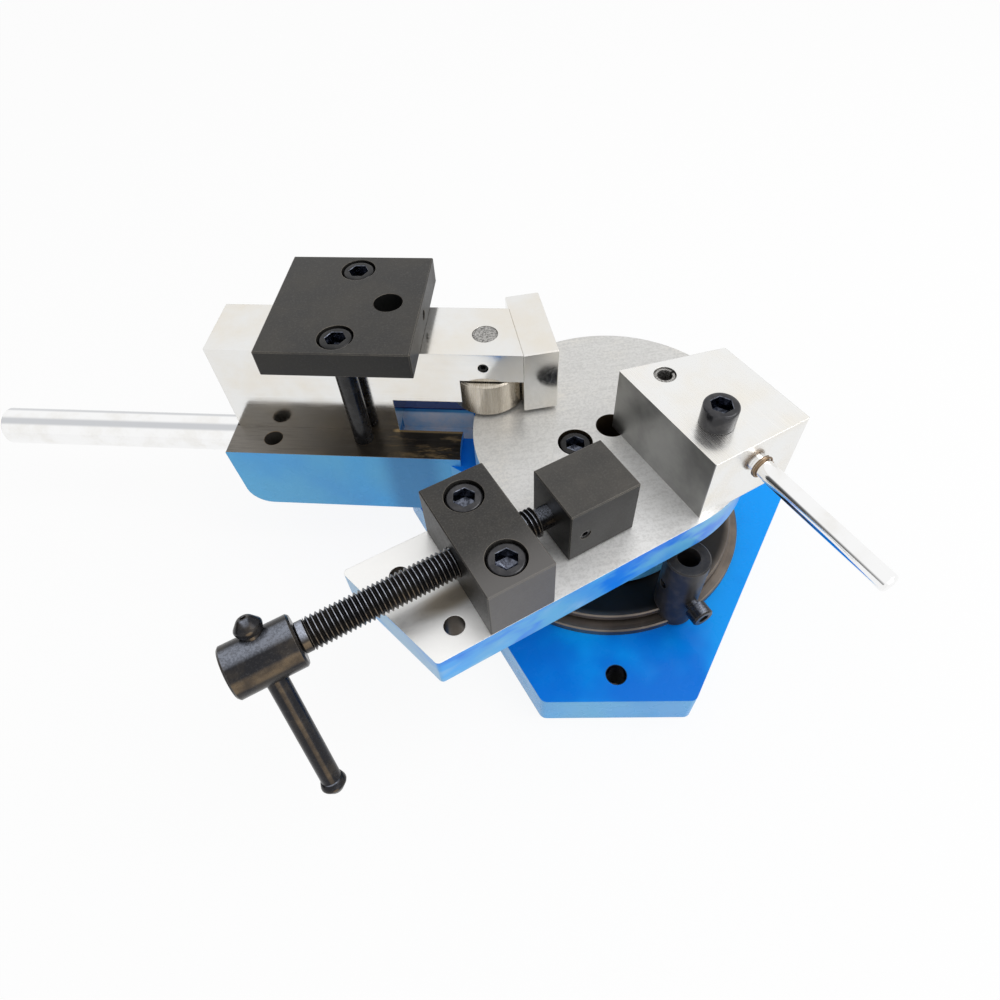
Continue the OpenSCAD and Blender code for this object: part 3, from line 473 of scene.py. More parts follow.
def arm_places(recipe):
    """Places on the arm: along, across and up, the height of its top and the form bar's front."""
    on_arm = recipe.stretched((1, 1, 1), -ARM_TURN)
    return SimpleNamespace(along=recipe.part(on_arm, X), across=recipe.part(on_arm, Y),
                           height=recipe.part(recipe.place, Z), top=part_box("arm_casting")[1].z,
                           front=box_in("form_bar", to_arm)[1].y - SEAM_INSET)


def back_from(line, offsets):
    """Places that lie the given distances back from a line."""
    return [line - offset for offset in offsets]


def off_line(recipe, value, line):
    """How far a value is from a line."""
    return recipe.math("ABSOLUTE", recipe.less(value, line))


def top_ochre(recipe, at):
    """Share of ochre: a lip beside the channel, and scrapes towards the toe."""
    scraped = recipe.noise(recipe.stretched((60, 260, 60), -ARM_TURN), 1, 4, 0.7)
    scraped = recipe.between(scraped, 0.5, 0.68)
    lip = recipe.between(off_line(recipe, at.across, at.front + LIP_AHEAD), *LIP_HALF, 0, 1.4)
    lip = recipe.times(lip, recipe.between(at.along, *LIP_END))
    return recipe.most(lip, recipe.times(scraped, recipe.between(at.along, *SCRAPES_END)))


def top_steel(recipe, at, stain, marks):
    """Machined top: a painted reflection makes it lighter at the handle and darkest at the toe; greyer behind the
    bar's front.
    """
    steel = recipe.mix(recipe.between(stain, 0.35, 0.7), TOP_DARK, TOP_BROWN)
    # Painted reflection: lighter towards the handle, dark towards the toe
    steel = recipe.mix(recipe.between(at.along, *HANDLE_END), steel, TOP_HANDLE_REFLECTION)
    steel = recipe.mix(recipe.between(at.along, *TOE_END, 0, 0.7), steel, TOP_TOE_DARK_REFLECTION)
    behind = recipe.between(at.across, *back_from(at.front, TOP_GREYER), 0, 0.7)
    steel = recipe.mix(behind, steel, TOP_BEHIND)
    steel = recipe.mix(recipe.between(marks, 0.45, 0.7, 0, 0.5), steel, TOP_MARKS)
    seam = recipe.between(off_line(recipe, at.across, at.front), *SEAM_HALF)
    steel = recipe.mix(seam, steel, TOP_SEAM)
    return recipe.mix(recipe.times(top_ochre(recipe, at), 0.6), steel, TOP_OCHRE)


def bare_places(recipe, at, ledge):
    """Mask of the bare steel: the top outside the painted ledge, and the tapped hole."""
    bare = recipe.times(recipe.upward(), recipe.between(at.height, *back_from(at.top, TOP_SKIN)))
    bare = recipe.times(bare, recipe.rest(ledge))
    outside = recipe.outside_hole(mount_place("arm_tapped_hole"), TAPPED_HOLE)
    return recipe.most(bare, recipe.rest(outside))


def channel_reflection_places(recipe, at):
    """Mask of the channel's floor and rear wall, which get a painted pale reflection."""
    floor = recipe.times(recipe.upward(), recipe.between(at.height, *back_from(at.top, FLOOR_BEGINS)))
    floor = recipe.times(floor, recipe.between(at.height, *back_from(at.top, FLOOR_ENDS)))
    to_front = recipe.vector("DOT_PRODUCT", recipe.facing, to_arm.to_3x3() @ Vector((0, 1, 0)))
    wall = recipe.times(recipe.between(to_front, 0.6, 0.8),
                        recipe.between(at.across, *back_from(at.front, WALL_BEHIND)))
    wall = recipe.times(wall, recipe.between(at.height, *back_from(at.top, WALL_BEGINS)))
    return recipe.most(floor, wall)


def casting_finish():
    """Blue paint with a bare machined top, worn brown at its edges, a painted pale reflection in the channel, and
    painted shade over a band along the arm and on the ledge.
    """
    recipe = Recipe("casting_finish", **PAINT_GLOSS)
    blue, blue_roughness, peel = paint_parts(recipe)
    at = arm_places(recipe)
    # Painted shade on the arm between these places along it
    shaded = recipe.times(recipe.between(at.along, *ARM_SHADE_BEGINS, 0, 0.7),
                          recipe.between(at.along, *ARM_SHADE_ENDS))
    blue = recipe.mix(shaded, blue, PAINT_SHADED)
    marks = recipe.noise(recipe.stretched((40, 700, 40), -ARM_TURN), 1, 4, 0.7)
    stain = recipe.noise(recipe.place, 30, 4, 0.65)
    ledge = recipe.times(recipe.between(at.across, *back_from(at.front, LEDGE_BEHIND)),
                         recipe.between(at.along, *LEDGE_END))
    bare = bare_places(recipe, at, ledge)
    # Band down from the top, for the edge wear and for the ledge's painted shade
    near_top = recipe.between(at.height, *back_from(at.top, TOP_WEAR_AND_SHADE))
    edge_normal, edge = recipe.rounded_edges(0.5 * MM)
    # Mottled painted pale reflection on the channel's floor and rear wall
    channel_reflection = recipe.mix(recipe.between(stain, 0.4, 0.62), CHANNEL_REFLECTION_BLUE, CHANNEL_REFLECTION_GREY)
    colour = recipe.mix(recipe.times(channel_reflection_places(recipe, at), 0.9), blue, channel_reflection)
    # The ledge stays painted blue, darkened to navy as painted shade under the form bar
    colour = recipe.mix(recipe.times(ledge, near_top), colour, LEDGE_SHADE_BLUE)
    colour = recipe.mix(bare, colour, top_steel(recipe, at, stain, marks))
    colour = recipe.mix(recipe.times(edge, near_top), colour, TOP_EDGE)
    roughness = recipe.math("MULTIPLY_ADD", bare, 0.06, blue_roughness)
    normal = recipe.bump(recipe.math("ADD", peel, marks), 0.02 * MM, normal=edge_normal)
    return recipe.finish(colour, roughness, recipe.times(bare, 0.75), normal)


# What haze does to the red, green and blue of ground steel
STEEL_HAZE = (0.98, 0.93, 0.85)
STEEL_EDGE = rgb(0.92, 0.91, 0.89)
# Painted dark reflection on a face towards -X
LEFT_REFLECTION_DARK = rgb(0.25, 0.25, 0.245)
LEFT_REFLECTION_LIGHT = rgb(0.36, 0.36, 0.35)


def ground_steel(name, turn, colour, rough=(0.1, 0.22), left_reflection=False):
    """Bright ground steel, with fine marks along one direction. The face towards -X may get a blotchy painted dark
    reflection, and be rougher.
    """
    recipe = Recipe(name, Metallic=1.0)
    marks = recipe.noise(recipe.stretched((25, 1400, 1400), turn), 1, 3, 0.6)
    haze = recipe.noise(recipe.place, 26, 4, 0.6)
    tint = recipe.mix(recipe.between(haze, 0.35, 0.75), colour, tinted(colour, STEEL_HAZE))
    edge_normal, edge = recipe.rounded_edges(0.4 * MM)
    tint = recipe.mix(recipe.times(edge, 0.4), tint, STEEL_EDGE)
    roughness = recipe.between(recipe.math("ADD", marks, haze), 0.7, 1.4, *rough)
    if left_reflection:
        # Blotchy painted dark reflection on the face towards -X, which is also rougher
        dull = recipe.between(recipe.part(recipe.facing, X), -0.6, -0.8)
        blotch = recipe.mix(recipe.between(haze, 0.38, 0.62), LEFT_REFLECTION_DARK, LEFT_REFLECTION_LIGHT)
        tint = recipe.mix(recipe.times(dull, recipe.rest(edge)), tint, blotch)
        roughness = recipe.math("MULTIPLY_ADD", dull, 0.1, roughness)
    return recipe.finish(tint, roughness, None, recipe.bump(marks, 0.006 * MM, normal=edge_normal))


PIN_SPECK = rgb(0.13, 0.125, 0.12)
PIN_STEEL = rgb(0.5, 0.49, 0.47)
PIN_EDGE = rgb(0.06, 0.058, 0.055)


def speckled_steel(name):
    """Pins: a dull cut end with fine dark specks."""
    recipe = Recipe(name, Metallic=0.85)
    specks = recipe.noise(recipe.place, 900, 4, 0.8)
    tint = recipe.mix(recipe.between(specks, 0.4, 0.58), PIN_SPECK, PIN_STEEL)
    edge_normal, edge = recipe.rounded_edges(0.5 * MM)
    tint = recipe.mix(recipe.times(edge, 0.8), tint, PIN_EDGE)
    roughness = recipe.between(specks, 0.3, 0.7, 0.3, 0.5)
    return recipe.finish(tint, roughness, None, recipe.bump(specks, 0.02 * MM, normal=edge_normal))


BAR_BRIGHT = rgb(0.93, 0.93, 0.93)
BAR_WARM = rgb(0.87, 0.86, 0.84)
BAR_DARK_REFLECTION = rgb(0.6, 0.61, 0.63)


def bright_bar(name, dark_reflection=0.0):
    """Bright drawn bar, with a painted dark reflection along its upper side and on its rear, as strong as the
    given share.
    """
    recipe = Recipe(name, Metallic=1.0)
    haze = recipe.noise(recipe.place, 60, 4, 0.6)
    tint = recipe.mix(recipe.between(haze, 0.4, 0.7), BAR_BRIGHT, BAR_WARM)
    up = recipe.part(recipe.facing, Z)
    # Painted dark reflection on a band along the upper side and on the rear
    upper = recipe.times(recipe.between(up, 0.74, 0.84), recipe.between(up, 0.985, 0.93))
    rear = recipe.between(recipe.part(recipe.facing, Y), 0.25, 0.6, 0, 0.5)
    tint = recipe.mix(recipe.times(recipe.most(upper, rear), dark_reflection), tint, BAR_DARK_REFLECTION)
    roughness = recipe.between(haze, 0.3, 0.8, 0.05, 0.14)
    return recipe.finish(tint, roughness, None, recipe.rounded_edges(0.4 * MM)[0])


OXIDE = rgb(0.03, 0.029, 0.028)
OXIDE_BROWN = rgb(0.05, 0.046, 0.04)
OXIDE_HIGHLIGHT = rgb(0.125, 0.12, 0.117)
OXIDE_GRAIN = rgb(0.13, 0.126, 0.118)
OXIDE_SHADE = rgb(0.001, 0.001, 0.001)
OXIDE_HOLE_SHADE = rgb(0.006, 0.006, 0.006)
OXIDE_EDGE = rgb(0.27, 0.24, 0.2)
# Along Y: where the painted highlight on the nut block's top begins and is full
NUT_HIGHLIGHT = (-50 * MM, -80 * MM)


def black_oxide(name, turn=0.0, colour=OXIDE, brown=OXIDE_BROWN, worn=None, upright=0.45):
    """Blackened steel: brown clouds, milling marks, edges worn bright. A painted highlight fades lighter over a
    given place.
    Upright faces get painted shade, keeping the given share of their colour, and those towards -X least."""
    recipe = Recipe(name, Metallic=0.1, Specular_IOR_Level=0.3)
    cloud = recipe.noise(recipe.place, 34, 5, 0.65)
    grain = recipe.noise(recipe.place, 1100, 3, 0.7)
    marks = recipe.noise(recipe.stretched((40, 800, 800), turn), 1, 3, 0.6)
    tint = recipe.mix(recipe.between(cloud, 0.3, 0.75), colour, brown)
    # Painted highlight, lighter over the given place
    if worn:
        tint = recipe.mix(recipe.between(recipe.part(recipe.place, Y), *worn), tint, OXIDE_HIGHLIGHT)
    tint = recipe.mix(recipe.between(grain, 0.46, 0.72, 0, 0.3), tint, OXIDE_GRAIN)
    # Painted shade on upright faces, strongest on those towards -X
    lit = recipe.between(recipe.math("ABSOLUTE", recipe.part(recipe.facing, Z)), 0.4, 0.7, upright, 1.0)
    lit = recipe.times(lit, recipe.between(recipe.part(recipe.facing, X), -0.5, -0.8, 1.0, 0.3))
    tint = recipe.mix(lit, OXIDE_SHADE, tint)
    # Painted shade inside the strap's hole
    tint = recipe.mix(recipe.outside_hole(mount_place("strap_hole"), STRAP_HOLE), OXIDE_HOLE_SHADE, tint)
    edge_normal, edge = recipe.rounded_edges(0.5 * MM)
    wear = recipe.times(edge, recipe.between(cloud, 0.3, 0.6, 0.3, 0.9))
    tint = recipe.mix(wear, tint, OXIDE_EDGE)
    roughness = recipe.between(recipe.math("ADD", cloud, grain), 0.7, 1.3, 0.36, 0.5)
    height = recipe.math("MULTIPLY_ADD", grain, 0.8, marks)
    return recipe.finish(tint, roughness, None, recipe.bump(height, 0.025 * MM, normal=edge_normal))


SCREW_DARK = rgb(0.008, 0.008, 0.009)
SCREW_LIGHT = rgb(0.024, 0.023, 0.023)
SCREW_EDGE_HIGHLIGHT = rgb(0.2, 0.195, 0.19)


def screw_black(name="screw_black", colour=SCREW_DARK, light=SCREW_LIGHT, metal=0.2, shine=0.35,
                rough=(0.2, 0.34), worn=0.6):
    """Blackened screws: dark, smooth, a little blue, greyer in patches, with a painted highlight on their edges.
    """
    recipe = Recipe(name, Metallic=metal, Specular_IOR_Level=shine)
    cloud = recipe.noise(recipe.place, 160, 4, 0.6)
    tint = recipe.mix(recipe.between(cloud, 0.4, 0.7), colour, light)
    edge_normal, edge = recipe.rounded_edges(0.4 * MM)
    # Painted highlight on the edges, as strong as the given share
    tint = recipe.mix(recipe.times(edge, worn), tint, SCREW_EDGE_HIGHLIGHT)
    roughness = recipe.between(cloud, 0.3, 0.75, *rough)
    normal = recipe.bump(recipe.noise(recipe.place, 1200, 2), 0.01 * MM, 0.4, edge_normal)
    return recipe.finish(tint, roughness, None, normal)


SOCKET_DARK = rgb(0.05, 0.054, 0.068)
SOCKET_LIGHT = rgb(0.16, 0.175, 0.22)


def socket_black():
    """Inside of the hexagon sockets: black and smooth, so that its floor catches the light."""
    recipe = Recipe("socket_black", Metallic=1.0)
    grain = recipe.noise(recipe.place, 600, 3, 0.6)
    tint = recipe.mix(recipe.between(grain, 0.35, 0.65), SOCKET_DARK, SOCKET_LIGHT)
    roughness = recipe.between(grain, 0.3, 0.7, 0.12, 0.22)
    return recipe.finish(tint, roughness, None, recipe.bump(grain, 0.02 * MM))


SPUN_DARK = rgb(0.018, 0.018, 0.021)
SPUN_BROWN = rgb(0.042, 0.036, 0.031)
SPUN_HIGHLIGHT = rgb(0.24, 0.26, 0.31)
SPUN_GOLD_REFLECTION = rgb(0.18, 0.13, 0.08)
SPUN_GRAIN = rgb(0.16, 0.155, 0.15)
SPUN_EDGE = rgb(0.24, 0.22, 0.19)
SPUN_ROOT_SHADE = rgb(0.004, 0.004, 0.004)
THREAD_HIGHLIGHT = rgb(0.5, 0.54, 0.64)
THREAD_ROOT = 6.4 * MM


def spun_black(name, root=0.0, highlight_from=0.9, highlight_colour=SPUN_HIGHLIGHT):
    """Blackened turned steel: a painted blue highlight on top, a painted gold-brown reflection lower down, both
    mottled.
    Where the thread is, it has painted shade within the root radius."""
    recipe = Recipe(name, Metallic=0.7, Specular_IOR_Level=0.35)
    bloom = recipe.noise(recipe.place, 70, 5, 0.6)
    grain = recipe.noise(recipe.place, 1000, 3, 0.7)
    tint = recipe.mix(recipe.between(bloom, 0.42, 0.62), SPUN_DARK, SPUN_BROWN)
    # Painted blue highlight on faces that look up
    upper = recipe.between(recipe.part(recipe.facing, Z), highlight_from, 0.995)
    tint = recipe.mix(recipe.times(upper, recipe.between(grain, 0.35, 0.65, 0.5, 1.0)), tint, highlight_colour)
    # Painted gold-brown reflection on the side that faces the gold direction
    lower = recipe.between(recipe.vector("DOT_PRODUCT", recipe.facing, GOLD_REFLECTION_SIDE), 0.955, 0.995)
    tint = recipe.mix(recipe.times(lower, recipe.between(bloom, 0.35, 0.6, 0.3, 0.8)), tint, SPUN_GOLD_REFLECTION)
    tint = recipe.mix(recipe.between(grain, 0.5, 0.75, 0, 0.15), tint, SPUN_GRAIN)
    edge_normal, edge = recipe.rounded_edges(0.4 * MM)
    tint = recipe.mix(recipe.times(edge, 0.5), tint, SPUN_EDGE)
    # Painted shade in the thread's roots, within the root radius
    if root:
        stop = thread_stop()
        threaded = recipe.between(recipe.part(recipe.place, X), stop + 0.3 * MM, stop)
        reach = recipe.reach(middle("screw_hub"), (0, 1, 1))
        deep = recipe.times(recipe.between(reach, root + 0.7 * MM, root), threaded)
        tint = recipe.mix(deep, tint, SPUN_ROOT_SHADE)
    roughness = recipe.between(recipe.math("ADD", bloom, grain), 0.7, 1.3, 0.2, 0.36)
    return recipe.finish(tint, roughness, None, recipe.bump(grain, 0.012 * MM, normal=edge_normal))


TURNED_TOP_SHADE = rgb(0.02, 0.018, 0.017)
TURNED_EDGE = rgb(0.34, 0.3, 0.25)
# How much lighter than the light colour the turned rings are
RING_SHARES = (1.5, 1.5, 1.5)
# In from the foot's edge: where the painted shade on its top is full, and where it ends
SHADE_INSIDE = 11 * MM
UNSHADED_OUTSIDE = 5 * MM


def turned_steel(name, centre, dark, light):
    """Steel turned about an upright axis: rings on flat faces, bands on round ones, painted shade on top inside
    the rim.
    """
    recipe = Recipe(name, Metallic=0.8)
    from_axis = recipe.vector("SUBTRACT", recipe.place, centre)
    reach = recipe.vector("LENGTH", recipe.vector("MULTIPLY", from_axis, (1, 1, 0)))
    rings = recipe.noise(recipe.join(reach, 0, recipe.part(from_axis, Z)), 1500, 3, 0.6)
    cloud = recipe.noise(recipe.place, 24, 4, 0.6)
    tint = recipe.mix(recipe.between(cloud, 0.35, 0.7), dark, light)
    tint = recipe.mix(recipe.between(rings, 0.55, 0.8, 0, 0.5), tint, tinted(light, RING_SHARES))
    # Painted shade on the foot's top, under the table
    foot_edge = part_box("spindle")[1].x
    rim = recipe.between(reach, foot_edge - SHADE_INSIDE, foot_edge - UNSHADED_OUTSIDE)
    tint = recipe.mix(recipe.times(recipe.upward(), recipe.rest(rim)), tint, TURNED_TOP_SHADE)
    edge_normal, edge = recipe.rounded_edges(0.5 * MM)
    tint = recipe.mix(recipe.times(edge, 0.2), tint, TURNED_EDGE)
    roughness = recipe.between(rings, 0.3, 0.75, 0.3, 0.46)
    return recipe.finish(tint, roughness, None, recipe.bump(rings, 0.02 * MM, normal=edge_normal))


ROLLER_DARK = rgb(0.46, 0.41, 0.34)
ROLLER_LIGHT = rgb(0.62, 0.57, 0.49)
ROLLER_FINE = rgb(0.76, 0.72, 0.64)


def streaked_steel(name, centre):
    """Ground roller: upright streaks of painted reflection on its round side."""
    recipe = Recipe(name, Metallic=1.0)
    from_axis = recipe.vector("SUBTRACT", recipe.place, centre)
    around = recipe.math("ARCTAN2", recipe.part(from_axis, Y), recipe.part(from_axis, X))
    up = recipe.part(from_axis, Z)
    # Upright streaks of painted reflection, dark to light
    streaks = recipe.noise(recipe.join(recipe.times(around, 5.5), 0, recipe.times(up, 14)), 1.6, 4, 0.7)
    fine = recipe.noise(recipe.join(recipe.times(around, 60), 0, recipe.times(up, 90)), 1, 3, 0.6)
    tint = recipe.mix(recipe.between(streaks, 0.3, 0.7), ROLLER_DARK, ROLLER_LIGHT)
    tint = recipe.mix(recipe.between(fine, 0.5, 0.8, 0, 0.3), tint, ROLLER_FINE)
    roughness = recipe.between(fine, 0.3, 0.7, 0.2, 0.32)
    normal = recipe.bump(fine, 0.01 * MM, normal=recipe.rounded_edges(0.6 * MM)[0])
    return recipe.finish(tint, roughness, None, normal)


BRONZE_DARK = rgb(0.5, 0.34, 0.13)
BRONZE_LIGHT = rgb(0.62, 0.45, 0.2)


def bronze():
    """Cloudy bearing bronze of the bush and the washers."""
    recipe = Recipe("bronze", Metallic=1.0)
    cloud = recipe.noise(recipe.place, 40, 4, 0.6)
    tint = recipe.mix(recipe.between(cloud, 0.35, 0.7), BRONZE_DARK, BRONZE_LIGHT)
    roughness = recipe.between(cloud, 0.3, 0.7, 0.28, 0.4)
    return recipe.finish(tint, roughness, None, recipe.rounded_edges(0.3 * MM)[0])


BAR_STEEL = rgb(0.81, 0.81, 0.8)
BLOCK_STEEL = rgb(0.86, 0.86, 0.85)
RING_STEEL = rgb(0.22, 0.15, 0.09)
FOOT_DARK = rgb(0.09, 0.076, 0.066)
FOOT_LIGHT = rgb(0.2, 0.168, 0.14)
PUSHER_OXIDE = rgb(0.05, 0.048, 0.045)
PUSHER_BROWN = rgb(0.08, 0.074, 0.066)
SET_SCREW_DARK = rgb(0.005, 0.005, 0.006)
SET_SCREW_LIGHT = rgb(0.014, 0.014, 0.015)
HANDLED_DARK = rgb(0.03, 0.03, 0.034)
HANDLED_LIGHT = rgb(0.062, 0.061, 0.064)
POST_DARK = rgb(0.02, 0.019, 0.02)
POST_LIGHT = rgb(0.046, 0.042, 0.04)


def steel_rows():
    """The bright and turned finishes, each with the CAD nodes that wear it."""
    return [
        (ground_steel("bar_steel", -ARM_TURN, BAR_STEEL), ["form_bar", "forming_plate"]),
        (ground_steel("block_steel", math.pi / 2, BLOCK_STEEL, (0.2, 0.34), True), ["form_block"]),
        (ground_steel("ring_steel", 0.0, RING_STEEL, (0.2, 0.3)), ["rod_collar"]),
        (streaked_steel("roller_steel", middle("roller")), ["roller"]),
        (speckled_steel("pin_steel"), ["hub_pin", "table_dowels", "form_block_pin", "roller_pin"]),
        (bright_bar("bright_bar"), ["gauge_rod"]),
        (bright_bar("handle_bar", 1.0), ["arm_handle"]),
        (turned_steel("turned_foot", (0, 0, 0), FOOT_DARK, FOOT_LIGHT), ["spindle"]),
        (bronze(), ["thrust_washer", "cover_washer", "arm_bush"]),
    ]


def black_rows():
    """The black finishes, each with the CAD nodes that wear it."""
    return [
        (black_oxide("black_oxide_nut", worn=NUT_HIGHLIGHT, upright=0.85), ["nut_block"]),
        (black_oxide("black_oxide_pusher", colour=PUSHER_OXIDE, brown=PUSHER_BROWN, upright=0.2),
         ["pusher_block"]),
        (black_oxide("black_oxide_arm", -ARM_TURN), ["strap_plate"]),
        (screw_black(), ["spindle_screws", "table_screws", "strap_screws", "forming_plate_screws"]),
        (screw_black("set_screw_black", SET_SCREW_DARK, SET_SCREW_LIGHT, worn=0.1),
         ["rod_lock_screw", "pusher_lock_screw", "handle_lock_screw", "strap_side_screw",
          "roller_pin_screw", "stop_lock_screw", "stop_side_screw"]),
        (screw_black("handled_black", HANDLED_DARK, HANDLED_LIGHT, 0.45, 0.5, (0.14, 0.26)),
         ["nut_block_screws", "form_block_screw"]),
        (screw_black("post_black", POST_DARK, POST_LIGHT, 0.1, 0.3, (0.36, 0.5)), ["stop_post"]),
        (spun_black("spun_black"), ["screw_hub", "tommy_bar", "tommy_caps", "stop_clamp_screw"]),
        (spun_black("thread_black", THREAD_ROOT, 0.66, THREAD_HIGHLIGHT), ["lead_screw"]),
    ]


def wear_finishes():
    """Gives each CAD node its finish, and returns the finish of each node."""
    painted = [(blue_paint(), ["base_plate"]), (table_finish(), ["table"]),
               (casting_finish(), ["arm_casting"])]
    worn = {}
    for material, nodes in painted + steel_rows() + black_rows():
        for node in nodes:
            worn[node] = material
            for slot in frame["nodes"][node].material_slots:
                slot.material = material
    return worn


def make_piece(name, vertices, faces, node, body, sharp=35):
    """A piece that stands for a CAD node and wears its finish."""
    mesh = bpy.data.meshes.new(name)
    mesh.from_pydata(vertices, [], faces)
    work = bmesh.new()
    work.from_mesh(mesh)
    bmesh.ops.remove_doubles(work, verts=work.verts, dist=0.002 * MM)
    bmesh.ops.recalc_face_normals(work, faces=work.faces)
    work.to_mesh(mesh)
    work.free()
    mesh.shade_smooth()
    mesh.set_sharp_from_angle(angle=math.radians(sharp))
    mesh.materials.append(finishes[node])
    piece = bpy.data.objects.new(name, mesh)
    bpy.context.scene.collection.objects.link(piece)
    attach(piece, body)
    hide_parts(node)
    return piece


def ring_faces(rings, steps):
    """Faces between rings of points, each ring with the next."""
    return [(k * steps + i, k * steps + (i + 1) % steps, (k + 1) * steps + (i + 1) % steps,
             (k + 1) * steps + i) for k in range(rings - 1) for i in range(steps)]


def turned(profile, steps=72):
    """Vertices and faces of a profile of (height, radius) turned about +X."""
    vertices = [(x, r * math.cos(2 * math.pi * i / steps), r * math.sin(2 * math.pi * i / steps))
                for x, r in profile for i in range(steps)]
    return vertices, ring_faces(len(profile), steps)


def thread(start, end, root, crest, pitch, steps=56):
    """Vertices and faces of a right-hand thread along +X, cut off square at both ends.
    Its profile has shares of the pitch and the radius there."""
    profile = [(0.0, root), (0.06, root), (0.46, crest), (0.6, crest), (1.0, root)]
    turns = math.ceil((end - start) / pitch) + 1
    vertices = []
    for i in range(turns * steps + 1):
        angle = 2 * math.pi * i / steps
        for share, radius in profile:
            x = start + pitch * (i / steps + share - 1)
            inside = min(max(x, start), end)
            vertices.append((inside, radius * math.cos(angle), radius * math.sin(angle)))
    width = len(profile)
    faces = [(i * width + k, i * width + k + 1, (i + 1) * width + k + 1, (i + 1) * width + k)
             for i in range(turns * steps) for k in range(width - 1)]
    return vertices, faces


def joined(parts):
    """Vertices and faces of several pieces in one."""
    vertices, faces = [], []
    for part_vertices, part_faces in parts:
        faces += [tuple(index + len(vertices) for index in face) for face in part_faces]
        vertices += part_vertices
    return vertices, faces


def placed(vertices, matrix):
    """Vertices moved by a matrix."""
    return [matrix @ Vector(v) for v in vertices]


def screw_ends(low, high, crest, root):
    """Profiles before and after the thread: a pin and a collar, and a neck with its groove."""
    hub_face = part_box("screw_hub")[1].x
    start = hub_face + COLLAR_GAP
    end = hub_face + COLLAR_LENGTH
    collar = crest - COLLAR_STEP
    collar_profile = [(low, 0), (low, NECK_RADIUS), (start, NECK_RADIUS), (start, collar - COLLAR_CHAMFER),
                      (start + COLLAR_CHAMFER, collar), (end - THREAD_CHAMFER, collar),
                      (end, collar - THREAD_CHAMFER), (end, root), (end + THREAD_CHAMFER, root)]
    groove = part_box("pusher_block")[0].x + GROOVE_INSIDE
    before, after = groove - GROOVE_HALF, groove + GROOVE_HALF
    bottom = NECK_RADIUS - GROOVE_DEPTH
    stop = thread_stop()
    nose_profile = [(stop, root), (stop + NECK_TAPER, NECK_RADIUS), (before, NECK_RADIUS),
                    (before, bottom), (after, bottom), (after, NECK_RADIUS),
                    (high - NECK_CHAMFER, NECK_RADIUS), (high, NECK_RADIUS - NECK_CHAMFER), (high, 0)]
    return collar_profile, nose_profile


def make_lead_screw():
    """Lead screw with its real thread between the plain collar and the neck."""
    low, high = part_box("lead_screw")
    crest = (high.y - low.y) / 2 - CAD_COLLAR_STEP
    root = crest - THREAD_DEPTH
    collar_profile, nose_profile = screw_ends(low.x, high.x, crest, root)
    helix = thread(collar_profile[-1][0], thread_stop(), root, crest, SCREW_PITCH)
    vertices, faces = joined([turned(collar_profile), helix, turned(nose_profile)])
    axis = middle("lead_screw")
    place = Matrix.Translation((0, axis.y, axis.z))
    make_piece("lead_screw_threaded", placed(vertices, place), faces, "lead_screw", "screw")


def hex_reach(apothem, angle):
    """Radius of a hexagon at an angle."""
    return apothem / math.cos(angle % (math.pi / 3) - math.pi / 6)


def screw_rings(length):
    """Rings of an M12 cap screw, from its tip up and down into its drilled socket.
    A ring is (height, radius, hexagonal)."""
    shank, outer, flat = M12 / 2, M12_HEAD / 2, M12_HEXAGON / 2
    tip, chamfer, crown = 0.8 * MM, 0.3 * MM, 1.3 * MM
    rings = [(-length, 0, False), (-length, shank - tip, False), (tip - length, shank, False),
             (0, shank, False), (0, outer - chamfer, False), (chamfer, outer, False)]
    for share in (0.0, 0.25, 0.5, 0.75, 1.0):
        angle = share * math.pi / 2
        rings.append((M12 - crown + crown * math.sin(angle), outer - crown + crown * math.cos(angle), False))
    mouth = flat / math.cos(math.pi / 6) + 0.5 * MM
    bottom = 0.4 * M12
    rings += [(M12, mouth, False), (M12, flat + 0.25 * MM, True), (M12 - chamfer, flat, True),
              (bottom, flat, True), (bottom - 0.1 * MM, flat - 0.4 * MM, True),
              (bottom - 1.7 * MM, 0.2 * MM, False), (bottom - 1.75 * MM, 0, False)]
    return rings


def cap_screw(length, steps=72):
    """Vertices and faces of a cap screw along +Z, with the underside of its head at the origin."""
    vertices = []
    rings = screw_rings(length)
    for height, radius, hexagonal in rings:
        for i in range(steps):
            angle = 2 * math.pi * i / steps
            reach = hex_reach(radius, angle) if hexagonal else radius
            vertices.append((reach * math.cos(angle), reach * math.sin(angle), height))
    return vertices, ring_faces(len(rings), steps)


def screw_places(low, high):
    """Where the screws of a box stand in plan: one at each end, or one where they would meet."""
    inset = Vector((M12_HEAD / 2, M12_HEAD / 2))
    first, last = low.xy + inset, high.xy - inset
    return [first, last] if (last - first).length > MM else [first]


def line_sockets(piece, tops, height):
    """Gives the faces inside each hexagon socket their own finish."""
    piece.data.materials.append(socket_finish)
    rim = (M12_HEAD + M12_HEXAGON) / 4
    for face in piece.data.polygons:
        across = min((face.center - top).xy.length for top in tops)
        if across < rim and height - M12 < face.center.z < height - 0.1 * MM:
            face.material_index = 1


def make_cap_screws(node, body, turn=Matrix.Identity(4)):
    """Detailed M12 cap screws, one at each end of the CAD node's box. The box lies along the turn."""
    low, high = box_in(node, turn)
    head_seat = high.z - M12
    places = screw_places(low, high)
    parts = []
    for place in places:
        vertices, faces = cap_screw(head_seat - low.z)
        seat = turn @ Matrix.Translation((place.x, place.y, head_seat))
        parts.append((placed(vertices, seat), faces))
    vertices, faces = joined(parts)
    piece = make_piece(node + "_detailed", vertices, faces, node, body, 30)
    line_sockets(piece, [turn @ Vector((place.x, place.y, high.z)) for place in places], high.z)


